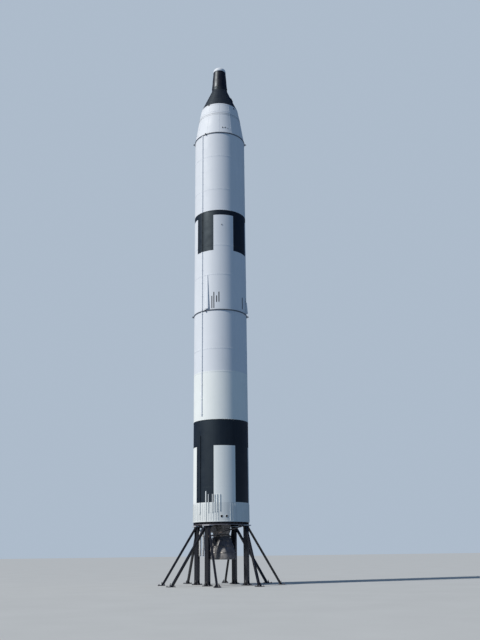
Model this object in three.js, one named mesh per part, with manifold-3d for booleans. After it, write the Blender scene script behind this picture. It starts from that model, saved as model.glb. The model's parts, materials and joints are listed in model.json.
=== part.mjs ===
// A two-stage rocket with a small two-seat cone-shaped cabin, standing on its black steel display stand.
// Millimetres, +Z up, origin on the rocket's axis at the level of the pad.
// An azimuth is in degrees: 0 faces -Y and it grows towards +X, so the four stand columns are at 45, 135...

import * as THREE from 'three';
import { mergeVertices } from 'three/addons/utils/BufferGeometryUtils.js';
import Module from 'manifold-3d';

const wasm = await Module();
wasm.setup();

// Driving dimensions: the body
const BODY_RADIUS = 1525;
const BODY_SIDES = 48;
const CHAMBER_SIDES = 32;
const SMALL_SIDES = 16;
const SEAT_GAP = 0.3;

// Heights above the pad, from the bottom up
const SKIRT_BOTTOM = 3200;
const SKIRT_TOP = 5000;
const FUEL_TANK_TOP = 8570;
const BETWEEN_TANKS_TOP = 11270;
const MID_COLLAR_Z = 14800;
const INTERSTAGE_TOP = 17000;
const SECOND_STAGE_SEAM = 20980;
const TOP_COLLAR_Z = 26200;
const EQUIPMENT_TOP = 27830;
const ADAPTER_TOP = 28440;
const CABIN_TOP = 29940;
const CONTROL_TOP = 30150;
const RECOVERY_TOP = 31340;
const NOSE_TOP = 31690;

// Radii of the upper end
const EQUIPMENT_TOP_RADIUS = 1265;
const ADAPTER_TOP_RADIUS = 1145;
const CABIN_BASE_RADIUS = 1145;
const CABIN_TOP_RADIUS = 485;
const RECOVERY_TOP_RADIUS = 385;

// Collars with lugs for the guys
const COLLAR_HEIGHT = 80;
const COLLAR_DEPTH = 28;
const LUG_AZIMUTHS = [-106.5, -49.5, 73.5, 130.5];
const LUG = { width: 26, reach: 130, height: 120, hole: 22 };

// Blast slots of the interstage: azimuth offset from the group's centre, bottom, top
const SLOT_GROUP_AZIMUTHS = [-27, 63, 153, 243];
const SLOTS = [
  { offset: -8, bottom: 14930, top: 15690 },
  { offset: -3.5, bottom: 14930, top: 15910 },
  { offset: 2.5, bottom: 15290, top: 15690 },
  { offset: 7.5, bottom: 15290, top: 15910 },
];
const SLOT_WIDTH = 55;
const SLOT_DEPTH = 90;

// Raised covers on the skin: azimuth, bottom, top, width, how far each stands out
const CONDUIT = { azimuth: -59.5, width: 80, depth: 45 };
const CONDUIT_BOTTOM = 8840;
const LOWER_CONDUIT = { azimuth: -64, bottom: 3600, top: 7750, width: 90, depth: 40 };
const COVERS = [
  { azimuth: -45.5, bottom: 14930, top: 16990, width: 210, tipWidth: 50, depth: 90, tipDepth: 30 },
  { azimuth: 58.5, bottom: 14930, top: 15600, width: 220, tipWidth: 180, depth: 110, tipDepth: 60 },
];

// Engine skirt, with two round ports
const SKIRT_WALL = 40;
const SKIRT_RING = { bottom: 4600, top: 4680, depth: 90 };
const PORT = { azimuths: [-15.5, -5.4], height: 3480, radius: 62 };
const TANK_DOME = { depth: 600, clearance: 20, steps: 6 };

// Cabin, with two hatches side by side
const CABIN_WALL = 40;
const CABIN_FLOOR = 50;
const HATCH_AZIMUTH = 90;
const HATCH = { bottom: 28700, top: 29600, inner: 4, outer: 42, gap: 6 };
const WINDOW = { bottom: 29280, top: 29480, inner: 11, outer: 31, thickness: 12 };
const HINGE = { pin: 12, bore: 13, knuckle: 22, stand: 26, length: 240, lug: 30 };

// Nose cap: how far its lip stands out, and the height of its rim
const NOSE = { lip: 12, rim: 90, steps: 5 };

// Two seats on one base: each a back that lies on the base, and a squab that stands up at its end
const SEAT_BASE = [760, 1000, 60];
const SEAT = { y: 270, width: 440, back: [720, 140], backZ: 120, squab: [100, 300], squabX: -330, squabZ: 330 };

// Engine: two thrust chambers on gimbals. It is laid out with its chambers on X and then turned onto Y
const ENGINE_TURN = 90;
const CHAMBER_X = 720;
const GIMBAL_Z = 3550;
const BELL_EXIT_Z = 1300;
const PIN_RADIUS = 25;
const PIN_BORE = 25.9;
const EAR = { near: 82, far: 112, half: 46, below: 46 };
const CROSS_BLOCK = [120, 120, 96];
const BEAM = { bottom: 3700, top: 3860, landing: 3830, half: 100, overhang: 200 };
const PAD = { azimuths: [45, 135, 225, 315], radius: 1420, size: [160, 110, 40] };
const STRUTS = [
  { landing: 380, radius: 55 },
  { landing: 120, radius: 45 },
];
const SADDLE = { inner: 180, plate: 30, drop: 40, half: 110 };

// Chamber outline outside: radius at a height above the bell's exit
const CHAMBER_OUTSIDE = [
  { radius: 560, height: 0 },
  { radius: 528, height: 320 },
  { radius: 455, height: 640 },
  { radius: 348, height: 930 },
  { radius: 222, height: 1190 },
  { radius: 222, height: 1260 },
  { radius: 290, height: 1450 },
  { radius: 290, height: 1790 },
  { radius: 350, height: 1800 },
  { radius: 350, height: 1880 },
  { radius: 255, height: 2000 },
  { radius: 120, height: 2060 },
];
const BELL_WALL = 22;
const BELL_DEPTH = 1250;

// Bands round the bell: bottom and top above the exit, and how far each stands out
const BELL_BANDS = [
  { bottom: 0, top: 70, depth: 26 },
  { bottom: 330, top: 370, depth: 16 },
  { bottom: 650, top: 690, depth: 16 },
  { bottom: 1190, top: 1260, depth: 40 },
];
const INLET = { offset: 240, radius: 50, bottom: 3170, top: 3440 };

// Actuators: distance from the gimbal's axis, heights of their two pins, and drops below the upper pin
const ACTUATOR = {
  reach: 420, top: 3960, eye: 3250, barrel: 48, bore: 22.9, rod: 22, crown: 34,
  shoulderDrop: 60, boreDrop: 150, pistonDrop: 220, barrelDrop: 420, pinMargin: 10,
};
const FORK = { arm: 24, gap: 14, below: 240, above: 40, past: 45, pin: 16, bore: 16.8 };
const EYE = { radius: 40, half: 20 };
const LUG_DROP = { root: 130, end: 80, radius: 30 };

// Turbopump: a line of drums on one shaft beside each chamber, from its turbine out to its pump
const PUMP = { x: 470, y: 640, z: 2850, arm: [90, 80], armZ: 3780 };
const PUMP_DRUMS = [
  { from: -260, to: -70, radius: 165 },
  { from: -90, to: 90, radius: 105 },
  { from: 70, to: 140, radius: 190 },
  { from: 120, to: 200, radius: 120 },
  { from: 180, to: 250, radius: 170 },
];
const SUCTION_LINE = { radius: 70, offset: 9 };

// Discharge line: points from the pump's centre as far along, across and up, then the same from its own flange
const DISCHARGE = { radius: 46, flange: 78, flangeHeight: 28, gap: 35, steps: 20 };
const DISCHARGE_RISE = [[215, 0, 0], [225, -5, 260], [235, -60, 560]];
const DISCHARGE_FALL = [[-6, 190, 230], [0, 40, 215], [0, 0, 110], [0, 0, 14]];

// Exhaust duct: points as far along, across and up from its place beside the turbine
const EXHAUST = { radius: 62, x: 285, y: 1095, steps: 36 };
const EXHAUST_ROUTE = [
  [0, -60, -50],
  [10, 0, -200],
  [60, -10, -450],
  [70, -15, -800],
  [20, 0, -1150],
  [20, 0, -1370],
];
const PIPE_SIDES = 12;

// Display stand
const COLUMN_AZIMUTHS = [45, 135, 225, 315];
const COLUMN = { radius: 1500, width: 230, top: 3010 };
const HEAD = { width: 420, thickness: 40 };
const BASE = { width: 420, thickness: 30 };
const BRACE = { footRadius: 3190, spread: 24.9, width: 120, topZ: 3050, side: 62, buried: 60, plate: 360 };
const TIE = { radius: 38, low: 2450, outward: 150, headInset: 220 };
const RING = { inner: 1380, outer: 1505, bottom: 3050, flange: 30, web: 30 };

// Paints and metals
const WHITE_PAINT = { color: 0xe6e8e8, roughness: 0.45, metalness: 0.0 };
const WARM_WHITE_PAINT = { color: 0xdfe3dd, roughness: 0.45, metalness: 0.0 };
const CABIN_BLACK = { color: 0x1b1c21, roughness: 0.55, metalness: 0.1 };
const STEEL_BLACK = { color: 0x101216, roughness: 0.3, metalness: 0.2 };
const ENGINE_METAL = { color: 0x6f6d69, roughness: 0.45, metalness: 0.8 };
const BRIGHT_METAL = { color: 0xb4b6b8, roughness: 0.3, metalness: 0.9 };
const DARK_GLASS = { color: 0x20262c, roughness: 0.08, metalness: 0.0, transparent: true, opacity: 0.5 };
const SEAT_GREY = { color: 0x77797a, roughness: 0.7, metalness: 0.0 };

const radians = THREE.MathUtils.degToRad;

// Solids: every primitive is made closed, then joined or cut
function toSolid(geometry) {
  geometry.deleteAttribute('normal');
  geometry.deleteAttribute('uv');
  const merged = mergeVertices(geometry, 1e-3);
  const source = merged.index.array;
  const places = merged.attributes.position;
  const triangles = [];
  let volume = 0;
  const corners = [new THREE.Vector3(), new THREE.Vector3(), new THREE.Vector3()];
  for (let i = 0; i < source.length; i += 3) {
    const [a, b, c] = [source[i], source[i + 1], source[i + 2]];
    if (a === b || b === c || c === a) continue;
    triangles.push(a, b, c);
    [a, b, c].forEach((vertex, k) => corners[k].fromBufferAttribute(places, vertex));
    volume += corners[0].dot(corners[1].cross(corners[2]));
  }
  if (volume < 0) triangles.reverse();
  return new wasm.Manifold(new wasm.Mesh({
    numProp: 3,
    vertProperties: new Float32Array(places.array),
    triVerts: new Uint32Array(triangles),
  }));
}

function toGeometry(solid) {
  const mesh = solid.getMesh();
  const geometry = new THREE.BufferGeometry();
  geometry.setAttribute('position', new THREE.BufferAttribute(new Float32Array(mesh.vertProperties), 3));
  geometry.setIndex(new THREE.BufferAttribute(new Uint32Array(mesh.triVerts), 1));
  geometry.computeVertexNormals();
  return geometry;
}

const join = (solids) => solids.reduce((whole, next) => whole.add(next));

// A profile is a list of [radius, height] pairs
function lathe(profile, sides = BODY_SIDES) {
  const points = profile.map(([radius, height]) => new THREE.Vector2(radius, height));
  return toSolid(new THREE.LatheGeometry(points, sides).rotateX(Math.PI / 2));
}

const ring = (inner, outer, bottom, top, sides = BODY_SIDES) =>
  lathe([[inner, bottom], [outer, bottom], [outer, top], [inner, top], [inner, bottom]], sides);

const drum = (lowRadius, highRadius, bottom, top, sides = BODY_SIDES) =>
  lathe([[0, bottom], [lowRadius, bottom], [highRadius, top], [0, top]], sides);

// A box by its centre and size, built facing -Y and then turned to an azimuth
function box(centre, size, azimuth = 0) {
  const geometry = new THREE.BoxGeometry(...size).translate(...centre);
  return toSolid(geometry.rotateZ(radians(azimuth)));
}

function place(azimuth, radius, height) {
  const angle = radians(azimuth);
  return new THREE.Vector3(radius * Math.sin(angle), -radius * Math.cos(angle), height);
}

// A round rod or a square beam from one point to another
function strut(from, to, geometry) {
  const direction = new THREE.Vector3().subVectors(to, from).normalize();
  const turn = new THREE.Quaternion().setFromUnitVectors(new THREE.Vector3(0, 1, 0), direction);
  const middle = new THREE.Vector3().addVectors(from, to).multiplyScalar(0.5);
  return toSolid(geometry.applyQuaternion(turn).translate(middle.x, middle.y, middle.z));
}

function rod(from, to, radius, sides = SMALL_SIDES) {
  return strut(from, to, new THREE.CylinderGeometry(radius, radius, from.distanceTo(to), sides));
}

// A square beam whose flat sides face the azimuth
function beam(from, to, width, azimuth) {
  const length = from.distanceTo(to);
  const geometry = new THREE.BoxGeometry(width, length, width);
  const along = new THREE.Vector3().subVectors(to, from).normalize();
  const across = place(azimuth + 90, 1, 0);
  const out = new THREE.Vector3().crossVectors(across, along).normalize();
  const side = new THREE.Vector3().crossVectors(along, out);
  const turn = new THREE.Matrix4().makeBasis(side, along, out);
  const middle = new THREE.Vector3().addVectors(from, to).multiplyScalar(0.5);
  return toSolid(geometry.applyMatrix4(turn).translate(middle.x, middle.y, middle.z));
}

// A pipe of one radius along a smooth curve through points
function pipe(points, radius, steps) {
  const path = new THREE.CatmullRomCurve3(points, false, 'centripetal');
  const section = new THREE.Shape();
  for (let i = 0; i < PIPE_SIDES; i += 1) {
    const angle = (2 * Math.PI * i) / PIPE_SIDES;
    const corner = [radius * Math.cos(angle), radius * Math.sin(angle)];
    if (i === 0) section.moveTo(...corner);
    else section.lineTo(...corner);
  }
  section.closePath();
  return toSolid(new THREE.ExtrudeGeometry(section, { steps, extrudePath: path, bevelEnabled: false }));
}

const rocket = new THREE.Group();
const engine = new THREE.Group();
engine.rotation.z = radians(ENGINE_TURN);
rocket.add(engine);

function addNode(name, solid, finish, parent = rocket) {
  const mesh = new THREE.Mesh(toGeometry(solid), new THREE.MeshStandardMaterial(finish));
  mesh.name = name;
  parent.add(mesh);
}

// Whatever sits on the skin is cut to the skin's own facets, a seat gap away
const skin = drum(BODY_RADIUS + SEAT_GAP, BODY_RADIUS + SEAT_GAP, SKIRT_BOTTOM, TOP_COLLAR_Z + 200);

// A raised cover, which may narrow and thin towards its upper end
function cover({ azimuth, bottom, top, width, tipWidth = width, depth, tipDepth = depth }) {
  const low = BODY_RADIUS - 30;
  const face = prism([
    [-width / 2, bottom],
    [width / 2, bottom],
    [tipWidth / 2, top],
    [-tipWidth / 2, top],
  ], BODY_RADIUS + depth + 10);
  face.rotateX(Math.PI / 2);
  const side = prism([
    [low, bottom],
    [BODY_RADIUS + depth, bottom],
    [BODY_RADIUS + tipDepth, top],
    [low, top],
  ], 2 * width);
  const outward = new THREE.Vector3(0, -1, 0);
  const up = new THREE.Vector3(0, 0, 1);
  side.translate(0, 0, -width);
  side.applyMatrix4(new THREE.Matrix4().makeBasis(outward, up, outward.clone().cross(up)));
  const turned = [face, side].map((geometry) => toSolid(geometry.rotateZ(radians(azimuth))));
  return turned[0].intersect(turned[1]).subtract(skin);
}

// A straight prism on a polygon in X and Y, up from Z = 0
function prism(corners, depth) {
  const shape = new THREE.Shape(corners.map((corner) => new THREE.Vector2(...corner)));
  return new THREE.ExtrudeGeometry(shape, { depth, bevelEnabled: false });
}

// Barrel sections, each a drum that closes on the next
function addBarrel() {
  const sections = [
    { name: 'stage1_between_tanks', bottom: FUEL_TANK_TOP, top: BETWEEN_TANKS_TOP, finish: WARM_WHITE_PAINT },
    { name: 'stage1_oxidizer_tank', bottom: BETWEEN_TANKS_TOP, top: MID_COLLAR_Z, finish: WHITE_PAINT },
    { name: 'stage2_fuel_tank', bottom: INTERSTAGE_TOP, top: SECOND_STAGE_SEAM, finish: WHITE_PAINT },
    { name: 'stage2_oxidizer_tank', bottom: SECOND_STAGE_SEAM, top: TOP_COLLAR_Z, finish: WHITE_PAINT },
  ];
  for (const { name, bottom, top, finish } of sections) {
    addNode(name, drum(BODY_RADIUS, BODY_RADIUS, bottom + SEAT_GAP, top), finish);
  }
  addNode('stage1_fuel_tank', fuelTank(), WARM_WHITE_PAINT);
  addNode('interstage', interstage(), WHITE_PAINT);
}

// The lowest tank ends in a dome that shows from below
function fuelTank(lowered = 0) {
  const { depth, clearance, steps } = TANK_DOME;
  const rim = BODY_RADIUS - SKIRT_WALL - clearance;
  const profile = [];
  for (let i = 0; i <= steps; i += 1) {
    const angle = (Math.PI / 2) * (i / steps);
    profile.push([rim * Math.sin(angle), SKIRT_TOP + SEAT_GAP - lowered - depth * Math.cos(angle)]);
  }
  profile[0][0] = 0;
  profile.push([BODY_RADIUS, SKIRT_TOP + SEAT_GAP], [BODY_RADIUS, FUEL_TANK_TOP], [0, FUEL_TANK_TOP]);
  return lathe(profile);
}

function interstage() {
  let body = drum(BODY_RADIUS, BODY_RADIUS, MID_COLLAR_Z + SEAT_GAP, INTERSTAGE_TOP);
  for (const group of SLOT_GROUP_AZIMUTHS) {
    for (const { offset, bottom, top } of SLOTS) {
      const centre = [0, -BODY_RADIUS, (bottom + top) / 2];
      body = body.subtract(box(centre, [SLOT_WIDTH, 2 * SLOT_DEPTH, top - bottom], group + offset));
    }
  }
  return body;
}

function addSkirt() {
  const inside = BODY_RADIUS - SKIRT_WALL;
  const ringInside = inside - SKIRT_RING.depth;
  let skirt = lathe([
    [inside, SKIRT_BOTTOM],
    [BODY_RADIUS, SKIRT_BOTTOM],
    [BODY_RADIUS, SKIRT_TOP],
    [inside, SKIRT_TOP],
    [inside, SKIRT_RING.top],
    [ringInside, SKIRT_RING.top],
    [ringInside, SKIRT_RING.bottom],
    [inside, SKIRT_RING.bottom],
    [inside, SKIRT_BOTTOM],
  ]);
  for (const azimuth of PORT.azimuths) {
    const inner = place(azimuth, inside - SKIRT_WALL, PORT.height);
    skirt = skirt.subtract(rod(inner, place(azimuth, BODY_RADIUS + SKIRT_WALL, PORT.height), PORT.radius));
  }
  addNode('engine_skirt', skirt, WARM_WHITE_PAINT);
}

function addCollars() {
  const collars = [
    { name: 'mid_collar', bottom: MID_COLLAR_Z },
    { name: 'upper_collar', bottom: TOP_COLLAR_Z - COLLAR_HEIGHT },
  ];
  for (const { name, bottom } of collars) {
    const inner = BODY_RADIUS + SEAT_GAP;
    const solids = [ring(inner, inner + COLLAR_DEPTH, bottom, bottom + COLLAR_HEIGHT)];
    const middle = bottom + COLLAR_HEIGHT / 2;
    for (const azimuth of LUG_AZIMUTHS) {
      const near = BODY_RADIUS + COLLAR_DEPTH / 2;
      const far = BODY_RADIUS + LUG.reach;
      const plate = box([0, -(near + far) / 2, middle], [LUG.width, far - near, LUG.height], azimuth);
      const hole = rod(
        place(azimuth, far - LUG.hole * 2, middle).add(place(azimuth + 90, -LUG.width, 0)),
        place(azimuth, far - LUG.hole * 2, middle).add(place(azimuth + 90, LUG.width, 0)),
        LUG.hole, 12,
      );
      solids.push(plate.subtract(hole).subtract(skin));
    }
    addNode(name, join(solids), STEEL_BLACK);
  }
}

function addCovers() {
  const conduits = [
    { name: 'stage1_lower_conduit', ...LOWER_CONDUIT },
    { name: 'stage1_conduit', ...CONDUIT, bottom: CONDUIT_BOTTOM, top: MID_COLLAR_Z - SEAT_GAP },
    {
      name: 'stage2_conduit',
      ...CONDUIT,
      bottom: MID_COLLAR_Z + COLLAR_HEIGHT + SEAT_GAP,
      top: TOP_COLLAR_Z - COLLAR_HEIGHT - SEAT_GAP,
    },
  ];
  conduits.forEach((item) => addNode(item.name, cover(item), WHITE_PAINT));
  COVERS.forEach((item, i) => addNode(`interstage_cover_${i + 1}`, cover(item), WHITE_PAINT));
}

// The white adapter under the cabin
function addAdapter() {
  const bottom = TOP_COLLAR_Z + SEAT_GAP;
  addNode('equipment_section', drum(BODY_RADIUS, EQUIPMENT_TOP_RADIUS, bottom, EQUIPMENT_TOP), WHITE_PAINT);
  const retroBottom = EQUIPMENT_TOP + SEAT_GAP;
  addNode('retro_section', drum(EQUIPMENT_TOP_RADIUS, ADAPTER_TOP_RADIUS, retroBottom, ADAPTER_TOP), WHITE_PAINT);
}

// Cabin cone: radius of its outside at a height
const coneSlope = (CABIN_TOP_RADIUS - CABIN_BASE_RADIUS) / (CABIN_TOP - ADAPTER_TOP);
const coneRadius = (height) => CABIN_BASE_RADIUS + coneSlope * (height - ADAPTER_TOP);
const coneTilt = Math.atan(-coneSlope);

// A patch of the cone's wall between two heights and two azimuths, from one depth below the skin to another;
// its upper and lower edges are square to the skin, so that a hatch can swing out of it
function conePatch({ bottom, top, from, to, outer, inner }) {
  const at = (height, depth) => [
    coneRadius(height) - depth * Math.cos(coneTilt),
    height - depth * Math.sin(coneTilt),
  ];
  const band = lathe([at(bottom, inner), at(bottom, outer), at(top, outer), at(top, inner), at(bottom, inner)]);
  const reach = 2 * CABIN_BASE_RADIUS;
  const wedge = new THREE.Shape([
    new THREE.Vector2(0, 0),
    new THREE.Vector2(...place(from, reach, 0).toArray().slice(0, 2)),
    new THREE.Vector2(...place(to, reach, 0).toArray().slice(0, 2)),
  ]);
  const prism = new THREE.ExtrudeGeometry(wedge, { depth: CABIN_TOP - ADAPTER_TOP, bevelEnabled: false });
  return band.intersect(toSolid(prism.translate(0, 0, ADAPTER_TOP)));
}

// The two hatches mirror each other about HATCH_AZIMUTH
const hatchSides = [
  { name: 'left', sign: -1 },
  { name: 'right', sign: 1 },
];

function hatchSpan(sign, inner, outer) {
  const ends = [HATCH_AZIMUTH + sign * inner, HATCH_AZIMUTH + sign * outer];
  return { from: Math.min(...ends), to: Math.max(...ends) };
}

// The hinge line runs along the cone's wall, just outside it at the hatch's outer edge
function hingePoint(sign, height) {
  const depth = -HINGE.stand;
  const radius = coneRadius(height) - depth * Math.cos(coneTilt);
  return place(HATCH_AZIMUTH + sign * HATCH.outer, radius, height - depth * Math.sin(coneTilt));
}

function hingeRod(sign, from, to, radius) {
  return rod(hingePoint(sign, from), hingePoint(sign, to), radius, 12);
}

function addCabin() {
  const bottom = ADAPTER_TOP + SEAT_GAP;
  const inside = (height) => coneRadius(height) - CABIN_WALL / Math.cos(coneTilt);
  let shell = lathe([
    [0, bottom],
    [coneRadius(bottom), bottom],
    [CABIN_TOP_RADIUS, CABIN_TOP],
    [0, CABIN_TOP],
    [0, CABIN_TOP - CABIN_FLOOR],
    [inside(CABIN_TOP - CABIN_FLOOR), CABIN_TOP - CABIN_FLOOR],
    [inside(bottom + CABIN_FLOOR), bottom + CABIN_FLOOR],
    [0, bottom + CABIN_FLOOR],
  ]);
  const middle = (HATCH.bottom + HATCH.top) / 2;
  const half = HINGE.length / 2;
  for (const { name, sign } of hatchSides) {
    const opening = hatchSpan(sign, HATCH.inner, HATCH.outer);
    const edge = { bottom: HATCH.bottom, top: HATCH.top };
    shell = shell.subtract(conePatch({ ...edge, ...opening, outer: -60, inner: 100 }));
    // Two lugs on the shell carry the hinge pin, and the hatch's knuckle turns between them
    for (const end of [middle - half, middle + half]) {
      const low = end - HINGE.lug / 2;
      const lug = hingeRod(sign, low, low + HINGE.lug, HINGE.knuckle);
      const root = conePatch({
        bottom: low, top: low + HINGE.lug, outer: -HINGE.stand, inner: CABIN_WALL / 2,
        ...hatchSpan(sign, HATCH.outer, HATCH.outer + 2),
      });
      shell = shell.add(lug).add(root);
    }
    shell = shell.add(hingeRod(sign, middle - half, middle + half, HINGE.pin));
    addHatch(name, sign, middle, half);
  }
  addNode('cabin_shell', shell, CABIN_BLACK);
  addNode('control_section', drum(CABIN_TOP_RADIUS, CABIN_TOP_RADIUS, CABIN_TOP + SEAT_GAP, CONTROL_TOP), CABIN_BLACK);
  addNode('recovery_section',
    drum(CABIN_TOP_RADIUS, RECOVERY_TOP_RADIUS, CONTROL_TOP + SEAT_GAP, RECOVERY_TOP), CABIN_BLACK);
  addNode('nose_cap', noseCap(), WHITE_PAINT);
  addNode('crew_seats', crewSeats(bottom + CABIN_FLOOR + SEAT_GAP), SEAT_GREY);
}

function addHatch(name, sign, middle, half) {
  const degreesPerGap = THREE.MathUtils.radToDeg(HATCH.gap / coneRadius(HATCH.top));
  const panelSpan = hatchSpan(sign, HATCH.inner + degreesPerGap, HATCH.outer - degreesPerGap);
  const pane = { bottom: WINDOW.bottom, top: WINDOW.top, ...hatchSpan(sign, WINDOW.inner, WINDOW.outer) };
  let panel = conePatch({
    bottom: HATCH.bottom + HATCH.gap, top: HATCH.top - HATCH.gap, ...panelSpan, outer: 0, inner: CABIN_WALL,
  });
  panel = panel.subtract(conePatch({ ...pane, outer: -60, inner: 100 }));
  const barrelHalf = half - HINGE.lug / 2 - 8;
  const knuckle = hingeRod(sign, middle - barrelHalf, middle + barrelHalf, HINGE.knuckle);
  const leaf = conePatch({
    bottom: middle - barrelHalf, top: middle + barrelHalf, outer: -HINGE.stand, inner: 10,
    ...hatchSpan(sign, HATCH.outer - degreesPerGap - 3, HATCH.outer - degreesPerGap / 2),
  });
  const bore = hingeRod(sign, middle - half, middle + half, HINGE.bore);
  addNode(`hatch_${name}`, join([panel, leaf, knuckle]).subtract(bore), CABIN_BLACK);
  const edge = THREE.MathUtils.radToDeg(SEAT_GAP / coneRadius(WINDOW.top));
  const depth = CABIN_WALL / 3;
  addNode(`hatch_window_${name}`, conePatch({
    bottom: WINDOW.bottom + SEAT_GAP,
    top: WINDOW.top - SEAT_GAP,
    from: pane.from + edge,
    to: pane.to - edge,
    outer: depth,
    inner: depth + WINDOW.thickness,
  }), DARK_GLASS);
}

function noseCap() {
  const { lip, steps } = NOSE;
  const rim = RECOVERY_TOP_RADIUS + lip;
  const bottom = RECOVERY_TOP + SEAT_GAP;
  const profile = [[0, bottom], [rim, bottom]];
  const shoulder = bottom + NOSE.rim;
  for (let i = 0; i < steps; i += 1) {
    const angle = (Math.PI / 2) * (i / steps);
    profile.push([rim * Math.cos(angle), shoulder + (NOSE_TOP - shoulder) * Math.sin(angle)]);
  }
  profile.push([0, NOSE_TOP]);
  return lathe(profile, CHAMBER_SIDES);
}

// The seats' backs lie on the floor, because the crew sits on its back before launch
function crewSeats(floor) {
  const { y, width, back, squab } = SEAT;
  const solids = [box([0, 0, floor + SEAT_BASE[2] / 2], SEAT_BASE)];
  for (const side of [-1, 1]) {
    solids.push(box([0, side * y, floor + SEAT.backZ], [back[0], width, back[1]]));
    solids.push(box([SEAT.squabX, side * y, floor + SEAT.squabZ], [squab[0], width, squab[1]]));
  }
  return join(solids);
}

// Two ears with their inner faces EAR.near from the gimbal's centre, on the axis of one of its pins
function ears(axis, centre, bottom, top) {
  const bore = crossPin(axis, centre, PIN_BORE, EAR.far + SEAT_GAP);
  const thick = EAR.far - EAR.near;
  return [-1, 1].map((side) => {
    const shift = side * (EAR.near + thick / 2);
    const middle = (bottom + top) / 2;
    const ear = axis === 'y'
      ? box([centre.x, shift, middle], [2 * EAR.half, thick, top - bottom])
      : box([centre.x + shift, 0, middle], [thick, 2 * EAR.half, top - bottom]);
    return ear.subtract(bore);
  });
}

function crossPin(axis, centre, radius, half) {
  const shift = axis === 'y' ? new THREE.Vector3(0, half, 0) : new THREE.Vector3(half, 0, 0);
  return rod(centre.clone().sub(shift), centre.clone().add(shift), radius);
}

const gimbalCentre = (side) => new THREE.Vector3(side * CHAMBER_X, 0, GIMBAL_Z);

// A beam on eight struts, which rise to four pads under the skirt's ring
function addThrustFrame() {
  const beamMiddle = (BEAM.bottom + BEAM.top) / 2;
  const beamSize = [2 * (CHAMBER_X + BEAM.overhang), 2 * BEAM.half, BEAM.top - BEAM.bottom];
  const solids = [box([0, 0, beamMiddle], beamSize)];
  const padTop = SKIRT_RING.bottom - SEAT_GAP;
  const padMiddle = padTop - PAD.size[2] / 2;
  for (const azimuth of PAD.azimuths) {
    const pad = place(azimuth, PAD.radius, padMiddle);
    solids.push(box([0, -PAD.radius, padMiddle], PAD.size, azimuth));
    for (const { landing, radius } of STRUTS) {
      solids.push(rod(pad, new THREE.Vector3(Math.sign(pad.x) * landing, 0, BEAM.landing), radius, 8));
    }
  }
  const abovePads = box([0, 0, padTop + BODY_RADIUS], [4 * BODY_RADIUS, 4 * BODY_RADIUS, 2 * BODY_RADIUS]);
  addNode('thrust_frame', join(solids).subtract(abovePads), STEEL_BLACK, engine);
}

// Each chamber has one actuator outboard, for its swing in X, and one at -Y, for its swing in Y
function actuatorPins(side) {
  return [
    { name: 'yaw', axis: 'y', x: side * (CHAMBER_X + ACTUATOR.reach), y: 0 },
    { name: 'pitch', axis: 'x', x: side * CHAMBER_X, y: -ACTUATOR.reach },
  ];
}

// A saddle wraps the beam's end: the gimbal's ears hang under it, and each actuator has a fork on its side
function gimbalMount(side) {
  const { inner, plate, drop, half } = SADDLE;
  const endX = CHAMBER_X + BEAM.overhang + SEAT_GAP;
  const innerX = CHAMBER_X - inner;
  const outerX = endX + plate;
  const nearY = -BEAM.half - SEAT_GAP;
  const farY = nearY - plate;
  const bottom = BEAM.bottom - SEAT_GAP - drop;
  const forkTop = ACTUATOR.top + FORK.above;
  const block = (x1, x2, y1, y2, z1, z2) =>
    box([side * (x1 + x2) / 2, (y1 + y2) / 2, (z1 + z2) / 2], [x2 - x1, y2 - y1, z2 - z1]);
  const solids = [
    block(innerX, outerX, farY, half, bottom, bottom + drop),
    block(endX, outerX, farY, half, bottom, forkTop),
    block(innerX, outerX, farY, nearY, bottom, BEAM.top),
    ...ears('y', gimbalCentre(side), GIMBAL_Z - EAR.below, bottom + drop / 2),
  ];
  // Two arms of each fork, with the actuator's head on a pin between them
  const armLow = ACTUATOR.top - FORK.below;
  const near = ACTUATOR.barrel + FORK.gap;
  for (const sign of [-1, 1]) {
    const [a, b] = [sign * near, sign * (near + FORK.arm)].sort((p, q) => p - q);
    const yawEnd = CHAMBER_X + ACTUATOR.reach + FORK.past;
    const pitchEnd = -ACTUATOR.reach - FORK.past;
    solids.push(block(endX + plate / 2, yawEnd, a, b, armLow, forkTop));
    solids.push(block(CHAMBER_X + a, CHAMBER_X + b, pitchEnd, farY + plate / 2, armLow, forkTop));
  }
  for (const { axis, x, y } of actuatorPins(side)) {
    solids.push(crossPin(axis, new THREE.Vector3(x, y, ACTUATOR.top), FORK.pin, near + FORK.arm / 2));
  }
  return join(solids);
}

function addActuator(side, index, { name, axis, x, y }) {
  const { top, barrel, bore, crown, eye } = ACTUATOR;
  const head = new THREE.Vector3(x, y, top);
  const bottom = top - ACTUATOR.barrelDrop;
  const boreTop = top - ACTUATOR.boreDrop;
  const body = lathe([
    [0, top + crown],
    [crown, top + crown],
    [barrel, top - ACTUATOR.shoulderDrop],
    [barrel, bottom],
    [bore, bottom],
    [bore, boreTop],
    [0, boreTop],
  ], SMALL_SIDES).translate([x, y, 0]);
  const pinBore = crossPin(axis, head, FORK.bore, barrel + ACTUATOR.pinMargin);
  addNode(`actuator_barrel_${name}_${index}`, body.subtract(pinBore), BRIGHT_METAL, engine);
  const pistonTop = new THREE.Vector3(x, y, top - ACTUATOR.pistonDrop);
  const piston = rod(pistonTop, new THREE.Vector3(x, y, eye), ACTUATOR.rod);
  const rodEye = crossPin(axis, new THREE.Vector3(x, y, eye), EYE.radius, EYE.half);
  addNode(`actuator_rod_${name}_${index}`, piston.add(rodEye), BRIGHT_METAL, engine);
}

// Radius of the chamber's outside at a height above the bell's exit
function chamberRadius(height) {
  const above = CHAMBER_OUTSIDE.findIndex((point) => point.height > height);
  const [low, high] = [CHAMBER_OUTSIDE[above - 1], CHAMBER_OUTSIDE[above]];
  return low.radius + ((high.radius - low.radius) * (height - low.height)) / (high.height - low.height);
}

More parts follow.
